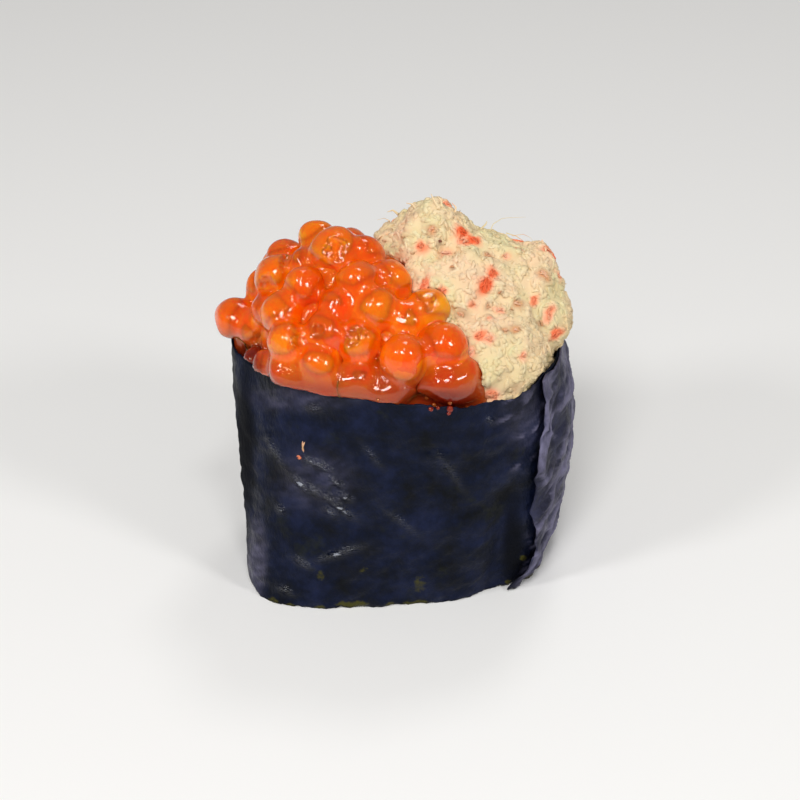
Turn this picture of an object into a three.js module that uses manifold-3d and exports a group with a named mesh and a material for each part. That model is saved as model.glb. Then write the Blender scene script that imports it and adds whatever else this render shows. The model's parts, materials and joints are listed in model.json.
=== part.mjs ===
// Gunkan sushi: a hand-pressed block of rice wrapped in a strip of nori that stands above it as a wall,
// heaped with salmon roe at one end and flaked crab at the other.
// Millimetres, +Z up. The origin is on the table under the middle of the piece, +X points to the crab end,
// and -Y is the front, where the roe spills along the rim. Angles are in degrees, anticlockwise from +X,
// and a height is a share of the wall's, from 0 at the table to 1 at the rim.
import * as THREE from "three";
import { mergeVertices } from "three/addons/utils/BufferGeometryUtils.js";
import Module from "manifold-3d";

const wasm = await Module();
wasm.setup();

// ---- driving sizes ----
const NORI_WIDTH = 35; // a sixth of a 210 mm sheet, and the height of the wall
const NORI_THICKNESS = 0.45;
const CLEARANCE = 0.35; // left between touching pieces
const RICE_TOP = 24;
const RIM_DROP = 0.5; // how far below the rim the filling ends
const STEP_BACK = 0.05; // how far a heap stands out past the filling under it
const JOIN = 1; // how deep shapes that are joined or cut reach into each other
const MIDDLE = { x: -0.41, y: -1.71 }; // of the whole piece's box, brought over the origin at the end

// The wall's outline at the table and at the rim: an oval with squarish corners, with front and back
// half-depths of their own and one end fuller than the other (skew), turned a little as the strip was
// pulled round by hand. The ends bulge at mid-height.
const FOOT = {
  halfLength: 20.1,
  front: 17.8,
  back: 15,
  squareness: 3,
  turn: -17,
  skew: -0.42,
  x: 0.2,
  y: 0.2,
};
const RIM = {
  halfLength: 22.8,
  front: 18.7,
  back: 15.6,
  squareness: 2.3,
  turn: -3,
  skew: 0.19,
  x: -0.6,
  y: 0.2,
};
const BELLY = { bulge: 1.6, shift: 0.75 };

// The strip's outer end lies over its inner end from the seam onwards. Its free edge stands off a little,
// and leans over towards the right from foot to rim.
const SEAM = -30;
const OVERLAP = 60;
const LAP = { gap: 0.12, ramp: 14 }; // the ramp is where the strip climbs onto its own inner end
const FLAP = { lift: 0.9, taper: 0.7, span: 9, lean: 8 }; // the lift tapers off towards the rim

// Creases in the wall: where they run, how wide (degrees) and how deep (mm, inwards) they are,
// the heights between which they run, and how far they slant over the wall's height.
const CREASES = [
  { angle: SEAM - 10, width: 6, depth: 1.4, low: -0.1, high: 0.66, slant: 0 },
  { angle: -14, width: 6, depth: 0.6, low: 0.3, high: 1.2, slant: -9 },
  { angle: -150, width: 9, depth: 0.5, low: 0.1, high: 0.75, slant: 14 },
  { angle: 35, width: 8, depth: 0.6, low: 0.2, high: 1.1, slant: 8 },
  { angle: 118, width: 10, depth: 0.6, low: -0.1, high: 0.8, slant: -10 },
];

// Small waves all over the damp strip: their height, and how many radians they pass round it and up it.
const CRINKLE = { height: 0.16, round: [11, 4], up: [5, 9] };
const FOOT_WAVE = 0.15; // how uneven the strip's two edges are
const RIM_WAVE = 0.35;
const ROW_SEEDS = 40; // random draws kept for each row of eggs or grains

// Salmon roe: eggs in tilted rows round a mound, pressed into each other and into the crab beside them.
// The mound's sizes are those of the surface through the egg centres.
const EGG = { radius: 3.1, smallest: 0.9, largest: 1.08, spacing: 5.5, wander: 0.55, sunk: 0.6 };
const MOUND = {
  x: -9,
  y: -0.6,
  z: 34.6,
  left: 11.8,
  right: 21,
  front: 14.3,
  back: 13,
  squareness: 2.3,
  height: 15,
  steepness: 1.9,
};
const MOUND_RINGS = [0, 0.3, 0.6, 0.85, 0.97]; // shares of the mound's height
const SPILL = { angle: -41, width: 24, reach: 0.33, low: 40, high: 49 }; // a tongue along the front rim
const ROW_TILT = 0.07; // how much a row of eggs sinks, mm for each mm towards the crab
const ROWS = [
  { height: 36.9, start: 184 },
  { height: 40.4, start: 192 },
  { height: 43.8, start: 176 },
  { height: 46.9, start: 190 },
  { height: 49.2, start: 160 },
];
const LOOSE_EGG = new THREE.Vector3(-22.2, -1, 38.3); // hangs over the rim at the roe's end

// The plane that parts roe from crab: its level direction and its distance from the wall's axis.
const PARTING = { angle: 36, distance: 5 };

// Flaked crab: lumps merged into one mound round its heart, with shreds lying on it.
const CRAB_HEART = new THREE.Vector3(9, 2, 34);
const CRAB_LUMPS = [
  { at: [8.6, 1.6, 36.3], radii: [13.6, 13.4, 13.3] },
  { at: [4.6, 4.5, 43], radii: [7.2, 7.2, 10.2] },
  { at: [19, 2.2, 39.2], radii: [4.3, 8.6, 8.2] },
  { at: [12.6, -6.8, 35.8], radii: [8.6, 10.2, 8.6] },
  { at: [1.6, 9, 38], radii: [7, 5.8, 11.2] },
];
const CRAB_DETAIL = 7;
const CRAB_CRAGS = { height: 0.7, coarse: 2.6, fine: 1.3, fineShare: 0.6 };
const SHREDS = 72;

// Half-sizes of the largest shred, the smallest as a share of it, and the room kept to the roe.
const SHRED = { length: 2.2, width: 0.9, thickness: 0.65, smallest: 0.6, tilt: 0.9, margin: 1 };

// Rice: grains pressed flat by the board show on the underside. Half-sizes, the height of their centres,
// how far they stand proud of the block, the room kept to the wall, their spacing, how far they stray
// from it as a share of it, and the shortest as a share of the longest.
const GRAIN = {
  halfLength: 3,
  halfWidth: 1.3,
  halfHeight: 1.15,
  centre: 0.75,
  proud: 0.5,
  margin: 1.2,
  pitchX: 7,
  pitchY: 4.1,
  strayX: 0.24,
  strayY: 0.3,
  shortest: 0.85,
};
const RICE_BEVEL = 1.2;

const WALL_STEP = 6; // degrees between the wall's columns, shared by all that lies against it
const WALL_ROWS = 6;

// ---- small helpers ----
const radians = THREE.MathUtils.degToRad;
const lerp = THREE.MathUtils.lerp;
const smoothstep = THREE.MathUtils.smoothstep;

// A repeatable number from 0 to 1 for each pair of whole numbers.
function scatter(n, k) {
  const wave = Math.sin(n * 12.9898 + k * 78.233) * 43758.5453;
  return wave - Math.floor(wave);
}

// Smooth, repeatable lumpiness from -1 to 1 at a point, with features about `size` across.
function lumpiness(point, size) {
  const { x, y, z } = point.clone().divideScalar(size);
  return (
    (Math.sin(x * 2.1 + Math.sin(y * 1.7 + 1.3)) +
      Math.sin(y * 2.3 + Math.sin(z * 1.9 + 0.4)) +
      Math.sin(z * 2.2 + Math.sin(x * 2.6 + 2.1))) /
    3
  );
}

function shapeFrom(positions, triangles) {
  const shape = new THREE.BufferGeometry();
  shape.setAttribute("position", new THREE.Float32BufferAttribute(positions, 3));
  shape.setIndex(triangles);
  return shape;
}

function toSolid(shape) {
  const bare = shape.clone();
  bare.deleteAttribute("normal");
  bare.deleteAttribute("uv");
  const merged = mergeVertices(bare, 1e-3);
  const mesh = new wasm.Mesh({
    numProp: 3,
    vertProperties: merged.attributes.position.array,
    triVerts: new Uint32Array(merged.index.array),
  });
  return new wasm.Manifold(mesh);
}

function fromSolid(solid) {
  const { numProp, vertProperties, triVerts } = solid.getMesh();
  const positions = [];
  for (let i = 0; i < vertProperties.length; i += numProp) {
    positions.push(...vertProperties.subarray(i, i + 3));
  }
  return shapeFrom(positions, [...triVerts]);
}

// The solid's main body, with slivers merged away and without the scraps that cutting leaves.
function mainBody(solid) {
  const bodies = toSolid(fromSolid(solid)).decompose();
  return bodies.reduce((best, body) => (body.volume() > best.volume() ? body : best));
}

// ---- the wall that every piece follows ----
function section(height) {
  const mixed = {};
  for (const key of Object.keys(FOOT)) mixed[key] = lerp(FOOT[key], RIM[key], height);
  const belly = 4 * height * (1 - height);
  mixed.halfLength += BELLY.bulge * belly;
  mixed.x += BELLY.shift * belly;
  return mixed;
}

// The wall's outline at an angle and a height from 0 (table) to 1 (rim), seen from above.
function outline(angle, height) {
  const { halfLength, front, back, squareness, turn, skew, x, y } = section(height);
  const cosine = Math.cos(radians(angle));
  const sine = Math.sin(radians(angle));
  const powers = Math.abs(cosine / halfLength) ** squareness + Math.abs(sine / front) ** squareness;
  const reach = powers ** (-1 / squareness);
  const along = reach * cosine;
  const fullness = (sine < 0 ? 1 : back / front) * (1 - (Math.sign(sine) * skew * along) / halfLength);
  const flat = new THREE.Vector2(along, reach * sine * fullness);
  return flat.rotateAround(new THREE.Vector2(), radians(turn)).add({ x, y });
}

function outwards(angle, height) {
  const step = outline(angle + 1, height).sub(outline(angle - 1, height));
  return new THREE.Vector2(step.y, -step.x).normalize();
}

// The angle from one direction to another, from -180 to 180.
const turnBetween = (from, to) => THREE.MathUtils.euclideanModulo(to - from + 180, 360) - 180;

// How far the wall's creases and small waves stand out (+) or in (-).
function relief(angle, height) {
  const ripple = (n) => Math.sin(CRINKLE.round[n] * radians(angle) + CRINKLE.up[n] * height);
  let depth = CRINKLE.height * ripple(0) * ripple(1);
  for (const crease of CREASES) {
    const away = turnBetween(crease.angle + crease.slant * height, angle);
    const middle = (crease.low + crease.high) / 2;
    const reach = (crease.high - crease.low) / 2;
    const fade = 1 - smoothstep(Math.abs(height - middle) / reach, 0.5, 1);
    depth -= crease.depth * fade * Math.exp(-((away / crease.width) ** 2));
  }
  return depth;
}

const wave = (angle, turns) => Math.sin(radians(angle * turns));
const footHeight = (angle) => FOOT_WAVE * (1 + 0.6 * wave(angle, 7) + 0.4 * wave(angle, 17));
const rimHeight = (angle) => NORI_WIDTH + RIM_WAVE * (0.7 * wave(angle + 13, 3) + 0.3 * wave(angle, 13));

// A point of the wall, `inset` mm inside its outer face.
function wallPoint(angle, height, inset, z = lerp(footHeight(angle), rimHeight(angle), height)) {
  const out = relief(angle, height) - inset;
  const flat = outline(angle, height).addScaledVector(outwards(angle, height), out);
  return new THREE.Vector3(flat.x, flat.y, z);
}

// ---- nori band ----
// A strip of nori wound once round and lapped over its own start, with both faces split alike.
function makeNori() {
  const start = SEAM + OVERLAP;
  const columns = (360 + OVERLAP) / WALL_STEP;
  const positions = [];
  for (const inset of [NORI_THICKNESS, 0]) {
    for (let column = 0; column <= columns; column += 1) {
      const angle = start - column * WALL_STEP;
      const climb = 1 - smoothstep(angle, start - 360, start - 360 + LAP.ramp);
      const nearEnd = 1 - smoothstep(angle, SEAM - 360, SEAM - 360 + FLAP.span);
      for (let row = 0; row <= WALL_ROWS; row += 1) {
        const height = row / WALL_ROWS;
        const lift = climb * (NORI_THICKNESS + LAP.gap) + nearEnd * FLAP.lift * (1 - FLAP.taper * height);
        const lean = nearEnd * FLAP.lean * (height - 0.5);
        positions.push(...wallPoint(angle + lean, height, inset - lift));
      }
    }
  }
  const tall = WALL_ROWS + 1;
  const outer = tall * (columns + 1);
  const triangles = [];
  const square = (a, b, c, d) => triangles.push(a, b, c, a, c, d);
  for (let column = 0; column < columns; column += 1) {
    for (let row = 0; row < WALL_ROWS; row += 1) {
      const a = column * tall + row;
      square(a, a + tall, a + tall + 1, a + 1); // inner face
      square(outer + a, outer + a + 1, outer + a + tall + 1, outer + a + tall);
    }
    const foot = column * tall;
    const rim = foot + WALL_ROWS;
    square(foot, outer + foot, outer + foot + tall, foot + tall);
    square(rim, rim + tall, outer + rim + tall, outer + rim);
  }
  const last = columns * tall;
  for (let row = 0; row < WALL_ROWS; row += 1) {
    square(row, row + 1, outer + row + 1, outer + row);
    square(last + row, outer + last + row, outer + last + row + 1, last + row + 1);
  }
  return toSolid(shapeFrom(positions, triangles));
}

// A closed loft through level rings, each a function of angle, with a column every `step` degrees.
function loft(rings, step = WALL_STEP) {
  const columns = 360 / step;
  const positions = [];
  for (const ring of rings) {
    for (let column = 0; column < columns; column += 1) positions.push(...ring(column * step));
  }
  const triangles = [];
  for (let level = 0; level + 1 < rings.length; level += 1) {
    for (let column = 0; column < columns; column += 1) {
      const a = level * columns + column;
      const b = level * columns + ((column + 1) % columns);
      triangles.push(a, b, b + columns, a, b + columns, a + columns);
    }
  }
  for (const level of [0, rings.length - 1]) {
    const first = level * columns;
    const centre = positions.length / 3;
    const [x, y, z] = positions.slice(first * 3);
    const [oppositeX, oppositeY] = positions.slice((first + columns / 2) * 3);
    positions.push((x + oppositeX) / 2, (y + oppositeY) / 2, z);
    for (let column = 0; column < columns; column += 1) {
      const a = first + column;
      const b = first + ((column + 1) % columns);
      triangles.push(...(level ? [centre, a, b] : [centre, b, a]));
    }
  }
  return toSolid(shapeFrom(positions, triangles));
}

// The space inside the nori between two heights in mm, clear of the strip's inner face and `grow` mm
// larger. It has a ring wherever the strip has a row of points.
function insideWall(low, high, grow = 0) {
  const ends = [(low - grow) / NORI_WIDTH, (high + grow) / NORI_WIDTH];
  const heights = [ends[0]];
  for (let row = 1; row <= WALL_ROWS; row += 1) {
    const height = row / WALL_ROWS;
    if (height > ends[0] && height < ends[1]) heights.push(height);
  }
  heights.push(ends[1]);
  const inset = NORI_THICKNESS + CLEARANCE - grow;
  const rings = heights.map((height) => (angle) => wallPoint(angle, height, inset, height * NORI_WIDTH));
  return loft(rings);
}

// The strip's upper part with clearance all round, to be cut from what stands over its edge.
function nearWall() {
  const reach = 2 * NORI_THICKNESS + LAP.gap + CLEARANCE;
  const outer = loft([
    (angle) => wallPoint(angle, RICE_TOP / NORI_WIDTH, -reach, RICE_TOP),
    (angle) => wallPoint(angle, 1, -reach, NORI_WIDTH + RIM_WAVE + CLEARANCE),
  ]);
  return outer.subtract(insideWall(RICE_TOP - JOIN, NORI_WIDTH + JOIN, STEP_BACK));
}

// A block that holds everything on one side of a level or upright plane.
function blockBeyond(normal, distance) {
  const size = 200;
  const block = new THREE.BoxGeometry(size, size, size);
  block.translate(distance + size / 2, 0, 0);
  const turn = new THREE.Quaternion().setFromUnitVectors(new THREE.Vector3(1, 0, 0), normal);
  block.applyQuaternion(turn);
  return toSolid(block);
}

// ---- rice ----
// Whether a grain fits on the rice's underside, clear of the wall.
function fitsInside(at) {
  let nearest = outline(0, 0);
  for (let angle = WALL_STEP; angle < 360; angle += WALL_STEP) {
    const point = outline(angle, 0);
    if (point.distanceTo(at) < nearest.distanceTo(at)) nearest = point;
  }
  return at.length() < nearest.length() && at.distanceTo(nearest) > GRAIN.halfLength + GRAIN.margin;
}

// A block of pressed rice, bevelled at the foot, with grains flattened by the board on its underside.
function makeRice() {
  const inset = NORI_THICKNESS + CLEARANCE;
  const low = GRAIN.proud;
  const high = low + RICE_BEVEL;
  const foot = loft([
    (angle) => wallPoint(angle, 0, inset + RICE_BEVEL, low),
    (angle) => wallPoint(angle, high / NORI_WIDTH, inset, high),
  ]);
  const pieces = [foot, insideWall(high, RICE_TOP)];
  const rows = Math.ceil(FOOT.front / GRAIN.pitchY);
  const columns = Math.ceil(FOOT.halfLength / GRAIN.pitchX);
  for (let row = -rows; row <= rows; row += 1) {
    for (let column = -columns; column <= columns; column += 1) {
      const key = row * ROW_SEEDS + column;
      const stray = row === 0 && column === 0 ? 0 : 1; // the middle grain stays put
      const at = new THREE.Vector2(
        (column + 0.5 * (row & 1) + stray * GRAIN.strayX * (scatter(key, 1) - 0.5)) * GRAIN.pitchX,
        (row + stray * GRAIN.strayY * (scatter(key, 2) - 0.5)) * GRAIN.pitchY,
      );
      if (!fitsInside(at)) continue;
      const grain = new THREE.IcosahedronGeometry(1, 0);
      const halfLength = GRAIN.halfLength * lerp(GRAIN.shortest, 1, scatter(key, 3));
      grain.scale(halfLength, GRAIN.halfWidth, GRAIN.halfHeight);
      grain.rotateZ(stray * scatter(key, 4) * Math.PI);
      grain.translate(at.x, at.y, GRAIN.centre);
      pieces.push(toSolid(grain));
    }
  }
  const table = blockBeyond(new THREE.Vector3(0, 0, -1), 0);
  return mainBody(wasm.Manifold.union(pieces).subtract(table));
}

// ---- salmon roe ----
const partingAngle = radians(PARTING.angle);
const partingNormal = new THREE.Vector3(Math.cos(partingAngle), Math.sin(partingAngle), 0);
const beyondParting = (point) => point.dot(partingNormal) - PARTING.distance;

// The mound's outline through the egg centres at a given height.
function moundPoint(angle, z, shrink = 0) {
  const rise = THREE.MathUtils.clamp((z - MOUND.z) / MOUND.height, 0, 1);
  const level = 1 - rise ** MOUND.steepness;
  const cosine = Math.cos(radians(angle));
  const sine = Math.sin(radians(angle));
  const length = cosine < 0 ? MOUND.left : MOUND.right;
  const depth = sine < 0 ? MOUND.front : MOUND.back;
  const bulge = SPILL.reach * Math.exp(-((turnBetween(SPILL.angle, angle) / SPILL.width) ** 2));
  const spill = 1 + bulge * (1 - smoothstep(z, SPILL.low, SPILL.high));
  const powers = Math.abs(cosine / length) ** MOUND.squareness + Math.abs(sine / depth) ** MOUND.squareness;
  const reach = level * spill * powers ** (-1 / MOUND.squareness) - shrink;
  return new THREE.Vector3(MOUND.x + reach * cosine, MOUND.y + reach * sine, z);
}

// Egg centres and sizes, row by row, evenly spaced along each row with a little wander.
function layEggs() {
  const eggs = [{ at: LOOSE_EGG, radius: EGG.radius }];
  ROWS.forEach(({ height, start }, row) => {
    const loop = [];
    for (let degree = 0; degree <= 360; degree += 1) loop.push(moundPoint(start + degree, height));
    const lengths = [0];
    for (let i = 1; i < loop.length; i += 1) lengths.push(lengths[i - 1] + loop[i].distanceTo(loop[i - 1]));
    const total = lengths.at(-1);
    const count = Math.max(1, Math.round(total / EGG.spacing));
    for (let n = 0; n < count; n += 1) {
      const key = row * ROW_SEEDS + n;
      const wander = (k) => (2 * scatter(key, k) - 1) * EGG.wander;
      const at = loop[lengths.findIndex((length) => length >= (total * n) / count)].clone();
      at.add(new THREE.Vector3(wander(1), wander(2), wander(3)));
      at.z -= ROW_TILT * (at.x - MOUND.x);
      const radius = EGG.radius * lerp(EGG.smallest, EGG.largest, scatter(key, 4));
      if (beyondParting(at) < -EGG.sunk) eggs.push({ at, radius });
    }
  });
  return eggs;
}

// The roe with everything `grow` mm larger, so that the crab can be cut clear of it.
function roeShape(grow) {
  const filling = insideWall(RICE_TOP + CLEARANCE, NORI_WIDTH - RIM_DROP, grow);
  const rings = MOUND_RINGS.map((rise) => {
    const z = MOUND.z + MOUND.height * rise;
    return (angle) => moundPoint(angle, z, EGG.sunk - grow);
  });
  const crabSide = blockBeyond(partingNormal, PARTING.distance + grow);
  const pieces = [filling.add(loft(rings, 3 * WALL_STEP)).subtract(crabSide)];
  layEggs().forEach(({ at, radius }, n) => {
    const egg = new THREE.IcosahedronGeometry(radius + grow, 1);
    egg.rotateX(2 * n).rotateY(3 * n);
    egg.translate(at.x, at.y, at.z);
    pieces.push(toSolid(egg));
  });
  return wasm.Manifold.union(pieces);
}

function makeRoe(wall) {
  return mainBody(roeShape(0).subtract(wall));
}

// ---- flaked crab ----
// Distance from the heart of the crab to the outside of its lumps, along a direction.
function crabReach(direction) {
  let reach = 0;
  for (const { at, radii } of CRAB_LUMPS) {
    const scale = new THREE.Vector3(...radii);
    const from = CRAB_HEART.clone().sub(new THREE.Vector3(...at)).divide(scale);
    const along = direction.clone().divide(scale);
    const a = along.lengthSq();
    const b = from.dot(along);
    const inside = b * b - a * (from.lengthSq() - 1);
    if (inside > 0) reach = Math.max(reach, (-b + Math.sqrt(inside)) / a);
  }
  return reach;
}

function crabPoint(direction) {
  const point = CRAB_HEART.clone().addScaledVector(direction, crabReach(direction));
  const { height, coarse, fine, fineShare } = CRAB_CRAGS;
  const crags = lumpiness(point, coarse) + fineShare * lumpiness(point, fine);
  return point.addScaledVector(direction, height * crags);
}

function crabCore() {
  const core = new THREE.IcosahedronGeometry(1, CRAB_DETAIL);
  const vertices = core.attributes.position;
  const direction = new THREE.Vector3();
  for (let i = 0; i < vertices.count; i += 1) {
    direction.fromBufferAttribute(vertices, i).normalize();
    vertices.setXYZ(i, ...crabPoint(direction));
  }
  return toSolid(core);
}

// Shreds spread over the upper half of the mound along a golden-angle spiral, each lying along the surface.
function crabShreds() {
  const shreds = [];
  const goldenAngle = Math.PI * (3 - Math.sqrt(5));
  const flat = new THREE.Vector3(0, 0, 1);
  for (let n = 0; n < SHREDS; n += 1) {
    const up = 1 - (n + 0.5) / SHREDS;
    const level = Math.sqrt(1 - up * up);
    const turn = n * goldenAngle;
    const direction = new THREE.Vector3(level * Math.cos(turn), level * Math.sin(turn), up);
    const at = crabPoint(direction);
    const hidden = beyondParting(at) < SHRED.margin;
    const low = at.z < NORI_WIDTH + SHRED.length;
    if (hidden || low) continue;
    const size = lerp(SHRED.smallest, 1, scatter(n, 5));
    const shred = new THREE.IcosahedronGeometry(1, 0);
    shred.scale(SHRED.length * size, SHRED.width * size, SHRED.thickness * size);
    shred.rotateY((scatter(n, 7) - 0.5) * SHRED.tilt);
    shred.rotateZ(scatter(n, 8) * Math.PI);
    shred.applyQuaternion(new THREE.Quaternion().setFromUnitVectors(flat, direction));
    shred.translate(at.x, at.y, at.z);
    shreds.push(toSolid(shred));
  }
  return shreds;
}

function makeCrab(wall) {
  const filling = insideWall(RICE_TOP + CLEARANCE, NORI_WIDTH - RIM_DROP);
  const mound = wasm.Manifold.union([crabCore(), ...crabShreds()]);
  const belowRim = blockBeyond(new THREE.Vector3(0, 0, -1), JOIN + RIM_DROP - NORI_WIDTH);
  const roeSide = blockBeyond(partingNormal.clone().negate(), CLEARANCE - PARTING.distance);
  const whole = mound.subtract(belowRim).add(filling.subtract(roeSide));
  return mainBody(whole.subtract(roeShape(CLEARANCE)).subtract(wall));
}

// ---- the piece ----
const FINISHES = {
  nori: { color: 0x1e2233, roughness: 0.5, metalness: 0 },
  rice: { color: 0xf1ede2, roughness: 0.6, metalness: 0 },
  salmon_roe: { color: 0xee5a0c, roughness: 0.15, metalness: 0 },
  crab_meat: { color: 0xebd3a6, roughness: 0.75, metalness: 0 },
};

function named(name, solid) {
  const mesh = new THREE.Mesh(fromSolid(solid), new THREE.MeshStandardMaterial(FINISHES[name]));
  mesh.name = name;
  return mesh;
}

const wall = nearWall();
const gunkan = new THREE.Group();
gunkan.add(
  named("nori", makeNori()),
  named("rice", makeRice()),
  named("salmon_roe", makeRoe(wall)),
  named("crab_meat", makeCrab(wall)),
);
gunkan.position.set(-MIDDLE.x, -MIDDLE.y, 0);

export default gunkan;
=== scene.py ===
# Gunkan sushi: salmon roe and flaked crab heaped in a tall collar of nori round pressed rice.
# Sizes are in millimetres until a mesh is made, which is in metres. +Z is up, +X points to the crab end,
# and -Y is the front. Angles are in degrees, anticlockwise from +X, and a height is a share of the wall's.
import json
import math

import bpy
import numpy as np
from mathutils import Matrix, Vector, noise
from mathutils.bvhtree import BVHTree

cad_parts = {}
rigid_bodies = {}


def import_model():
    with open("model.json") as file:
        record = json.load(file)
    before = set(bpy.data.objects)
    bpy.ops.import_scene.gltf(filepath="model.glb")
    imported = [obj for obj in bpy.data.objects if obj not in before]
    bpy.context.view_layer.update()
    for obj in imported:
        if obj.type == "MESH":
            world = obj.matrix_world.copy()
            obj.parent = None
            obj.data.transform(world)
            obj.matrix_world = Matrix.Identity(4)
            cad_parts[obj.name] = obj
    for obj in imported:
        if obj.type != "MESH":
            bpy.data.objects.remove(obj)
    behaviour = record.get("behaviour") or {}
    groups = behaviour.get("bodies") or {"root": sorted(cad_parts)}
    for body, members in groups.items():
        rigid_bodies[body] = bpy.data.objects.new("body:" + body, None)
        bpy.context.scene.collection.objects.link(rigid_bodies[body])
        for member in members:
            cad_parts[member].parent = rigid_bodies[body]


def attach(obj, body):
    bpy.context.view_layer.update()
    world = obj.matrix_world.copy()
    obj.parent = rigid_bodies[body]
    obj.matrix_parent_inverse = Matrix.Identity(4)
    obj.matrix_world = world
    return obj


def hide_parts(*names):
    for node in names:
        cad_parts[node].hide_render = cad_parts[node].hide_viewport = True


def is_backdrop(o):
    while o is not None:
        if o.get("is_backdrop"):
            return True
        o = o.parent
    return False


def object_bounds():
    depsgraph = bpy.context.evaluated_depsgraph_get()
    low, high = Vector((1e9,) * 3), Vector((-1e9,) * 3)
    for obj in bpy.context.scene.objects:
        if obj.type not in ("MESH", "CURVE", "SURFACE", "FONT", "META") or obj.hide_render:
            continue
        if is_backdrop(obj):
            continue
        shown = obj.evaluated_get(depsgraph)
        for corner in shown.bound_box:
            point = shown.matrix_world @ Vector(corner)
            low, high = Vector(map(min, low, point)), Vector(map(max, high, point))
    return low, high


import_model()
cad_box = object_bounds()

MM = 0.001

# ---- driving sizes, shared with the solids ----
NORI_WIDTH = 35  # the height of the wall
RICE_TOP = 24
MIDDLE = np.array([-0.41, -1.71, 0])  # of the whole piece's box, which stands over the origin
FOOT = dict(half_length=20.1, front=17.8, back=15, squareness=3, turn=-17, skew=-0.42, x=0.2, y=0.2)
RIM = dict(half_length=22.8, front=18.7, back=15.6, squareness=2.3, turn=-3, skew=0.19, x=-0.6, y=0.2)
BELLY = dict(bulge=1.6, shift=0.75)
SEAM = -30
OVERLAP = 60
LAP = dict(lift=0.57, ramp=14)  # how far the strip climbs over its own inner end
FLAP = dict(lift=0.9, taper=0.7, span=9, lean=8, edge_span=26)  # its outer end, which stands off
# The outer end isn't straight: height, degrees.
FLAP_EDGE = [
    (0, -1), (0.1, 5), (0.22, 5), (0.33, 1.5), (0.42, -2), (0.5, -1), (0.6, -3.5), (0.74, -4.5), (1, 0),
]
# angle, width, depth, lowest and highest height, slant
CREASES = [
    (SEAM - 10, 6, 1.4, -0.1, 0.66, 0), (-14, 6, 0.6, 0.3, 1.2, -9), (-150, 9, 0.5, 0.1, 0.75, 14),
    (35, 8, 0.6, 0.2, 1.1, 8), (118, 10, 0.6, -0.1, 0.8, -10),
]
CRINKLE = 0.16
FOOT_WAVE = 0.15
RIM_WAVE = 0.35

EGG = dict(radius=3.1, smallest=0.9, largest=1.08, spacing=5.5, wander=0.55, sunk=0.6)
MOUND = dict(x=-9, y=-0.6, z=34.6, left=11.8, right=21, front=14.3, back=13, squareness=2.3, height=15)
MOUND_STEEPNESS = 1.9
SPILL = dict(angle=-41, width=24, reach=0.33, low=40, high=49)
ROW_TILT = 0.07
ROWS = [(36.9, 184), (40.4, 192), (43.8, 176), (46.9, 190), (49.2, 160)]  # height and first angle
ROW_SEEDS = 40
LOOSE_EGG = (-22.2, -1, 38.3)
PARTING = dict(angle=36, distance=5)  # the plane between roe and crab
ROE_END = 10.6  # how far along the front rim the roe reaches

CRAB_HEART = np.array([9, 2, 34])
# Middle and half sizes of the crab's lumps, and of those that lean over the roe and over the rim.
CRAB_LUMPS = [
    ((8.6, 1.6, 36.3), (13.6, 13.4, 13.3)), ((4.6, 4.5, 43), (7.2, 7.2, 10.2)),
    ((19, 2.2, 39.2), (4.3, 8.6, 8.2)), ((12.6, -6.8, 35.8), (8.6, 10.2, 8.6)),
    ((1.6, 9, 38), (7, 5.8, 11.2)),
]
CRAB_LEANS = [
    ((-0.8, 6, 42.6), (4, 6, 6)), ((4.6, 0.6, 43.6), (3.4, 3, 3)), ((20.2, -1.5, 38.6), (4, 6.4, 4.6)),
]
CRAB_CRAGS = dict(height=0.7, coarse=2.6, fine=1.3, fine_share=0.6)
CRAB_ROUGH = [(0.45, 1.9, 0), (0.15, 0.9, 50)]  # waves of its packed flesh: height, size, shift
CRAB_ROOM = 0.55  # what the shreds take up on the core
LEAN_KEEPS_OFF = 1  # how far from the first leaning lump's skin an egg's middle stays

# ---- sizes of the finish ----
SHEET = 0.25  # thickness of the nori as it shows
COLUMN_STEP = 1  # degrees between the strip's columns
SHEET_ROWS = 96
LAYER_GAP = 0.06  # at least, between the two layers where they overlap
WALL_ROUND = 0.36  # mm of wall for each degree
ROUND = np.arange(0, 360, 4)  # the directions of a level ring's points
SLANT = np.array([[1, -0.55, 0], [0.55, 1, 0], [0, 0, 1]])  # lays the sheet's waves aslant
RIPPLES = dict(slow=(0.3, 3.2), slanted=(0.22, 1.6), fine=(0.08, 0.8))  # of the sheet: height, size
# Sharp folds of the lapped end: height, size, stretch and shift of their pattern, and how much lighter their
# crests are painted, as painted light.
CRUMPLES = [
    (0.9, 3.4, [1, 0.5, 1], [0, 30, 0], 1),
    (0.6, 1.8, [1, 0.7, 1], [9, 5, 0], 0.8),
    (0.3, 1, [1, 0.8, 1], [3, 9, 0], 0.6),
]
CRUMPLE_SINKS = 0.35  # what the crumpled end sits lower by
RAGGED = [(0.45, 1.9, 7.3), (0.3, 0.7, 0)]  # waves of the sheet's long edges: height, size, shift
WRINKLE_WIDTH = 2  # half of it, in pixels

HAIR_RINGS = 12
HAIR_SIDES = 5
STRAY_FLAKES = dict(tries=170, shortest=0.8, longest=2, narrowest=0.5, widest=1, palest=0.75, seed=500)
STRAND = dict(steps=4, slimmest=0.25, thinner=0.75, thicker=1.2, twist=40)  # shares of its width; degrees
# The torn strips of a flake: length as a share of the flake's, width, bend and turn.
STRIP = dict(shortest=0.45, longest=0.8, narrowest=0.25, widest=0.4, bend=0.1, turn=35)
STRIPS_TO_MM2 = 4  # torn strips to each square mm of a flake
FLAKE_PROUD = 0.12  # how far the strips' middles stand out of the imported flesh
BLUSH_REACH = 0.62  # how far a flake's colour has rubbed off, as a share of its length and width
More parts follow.
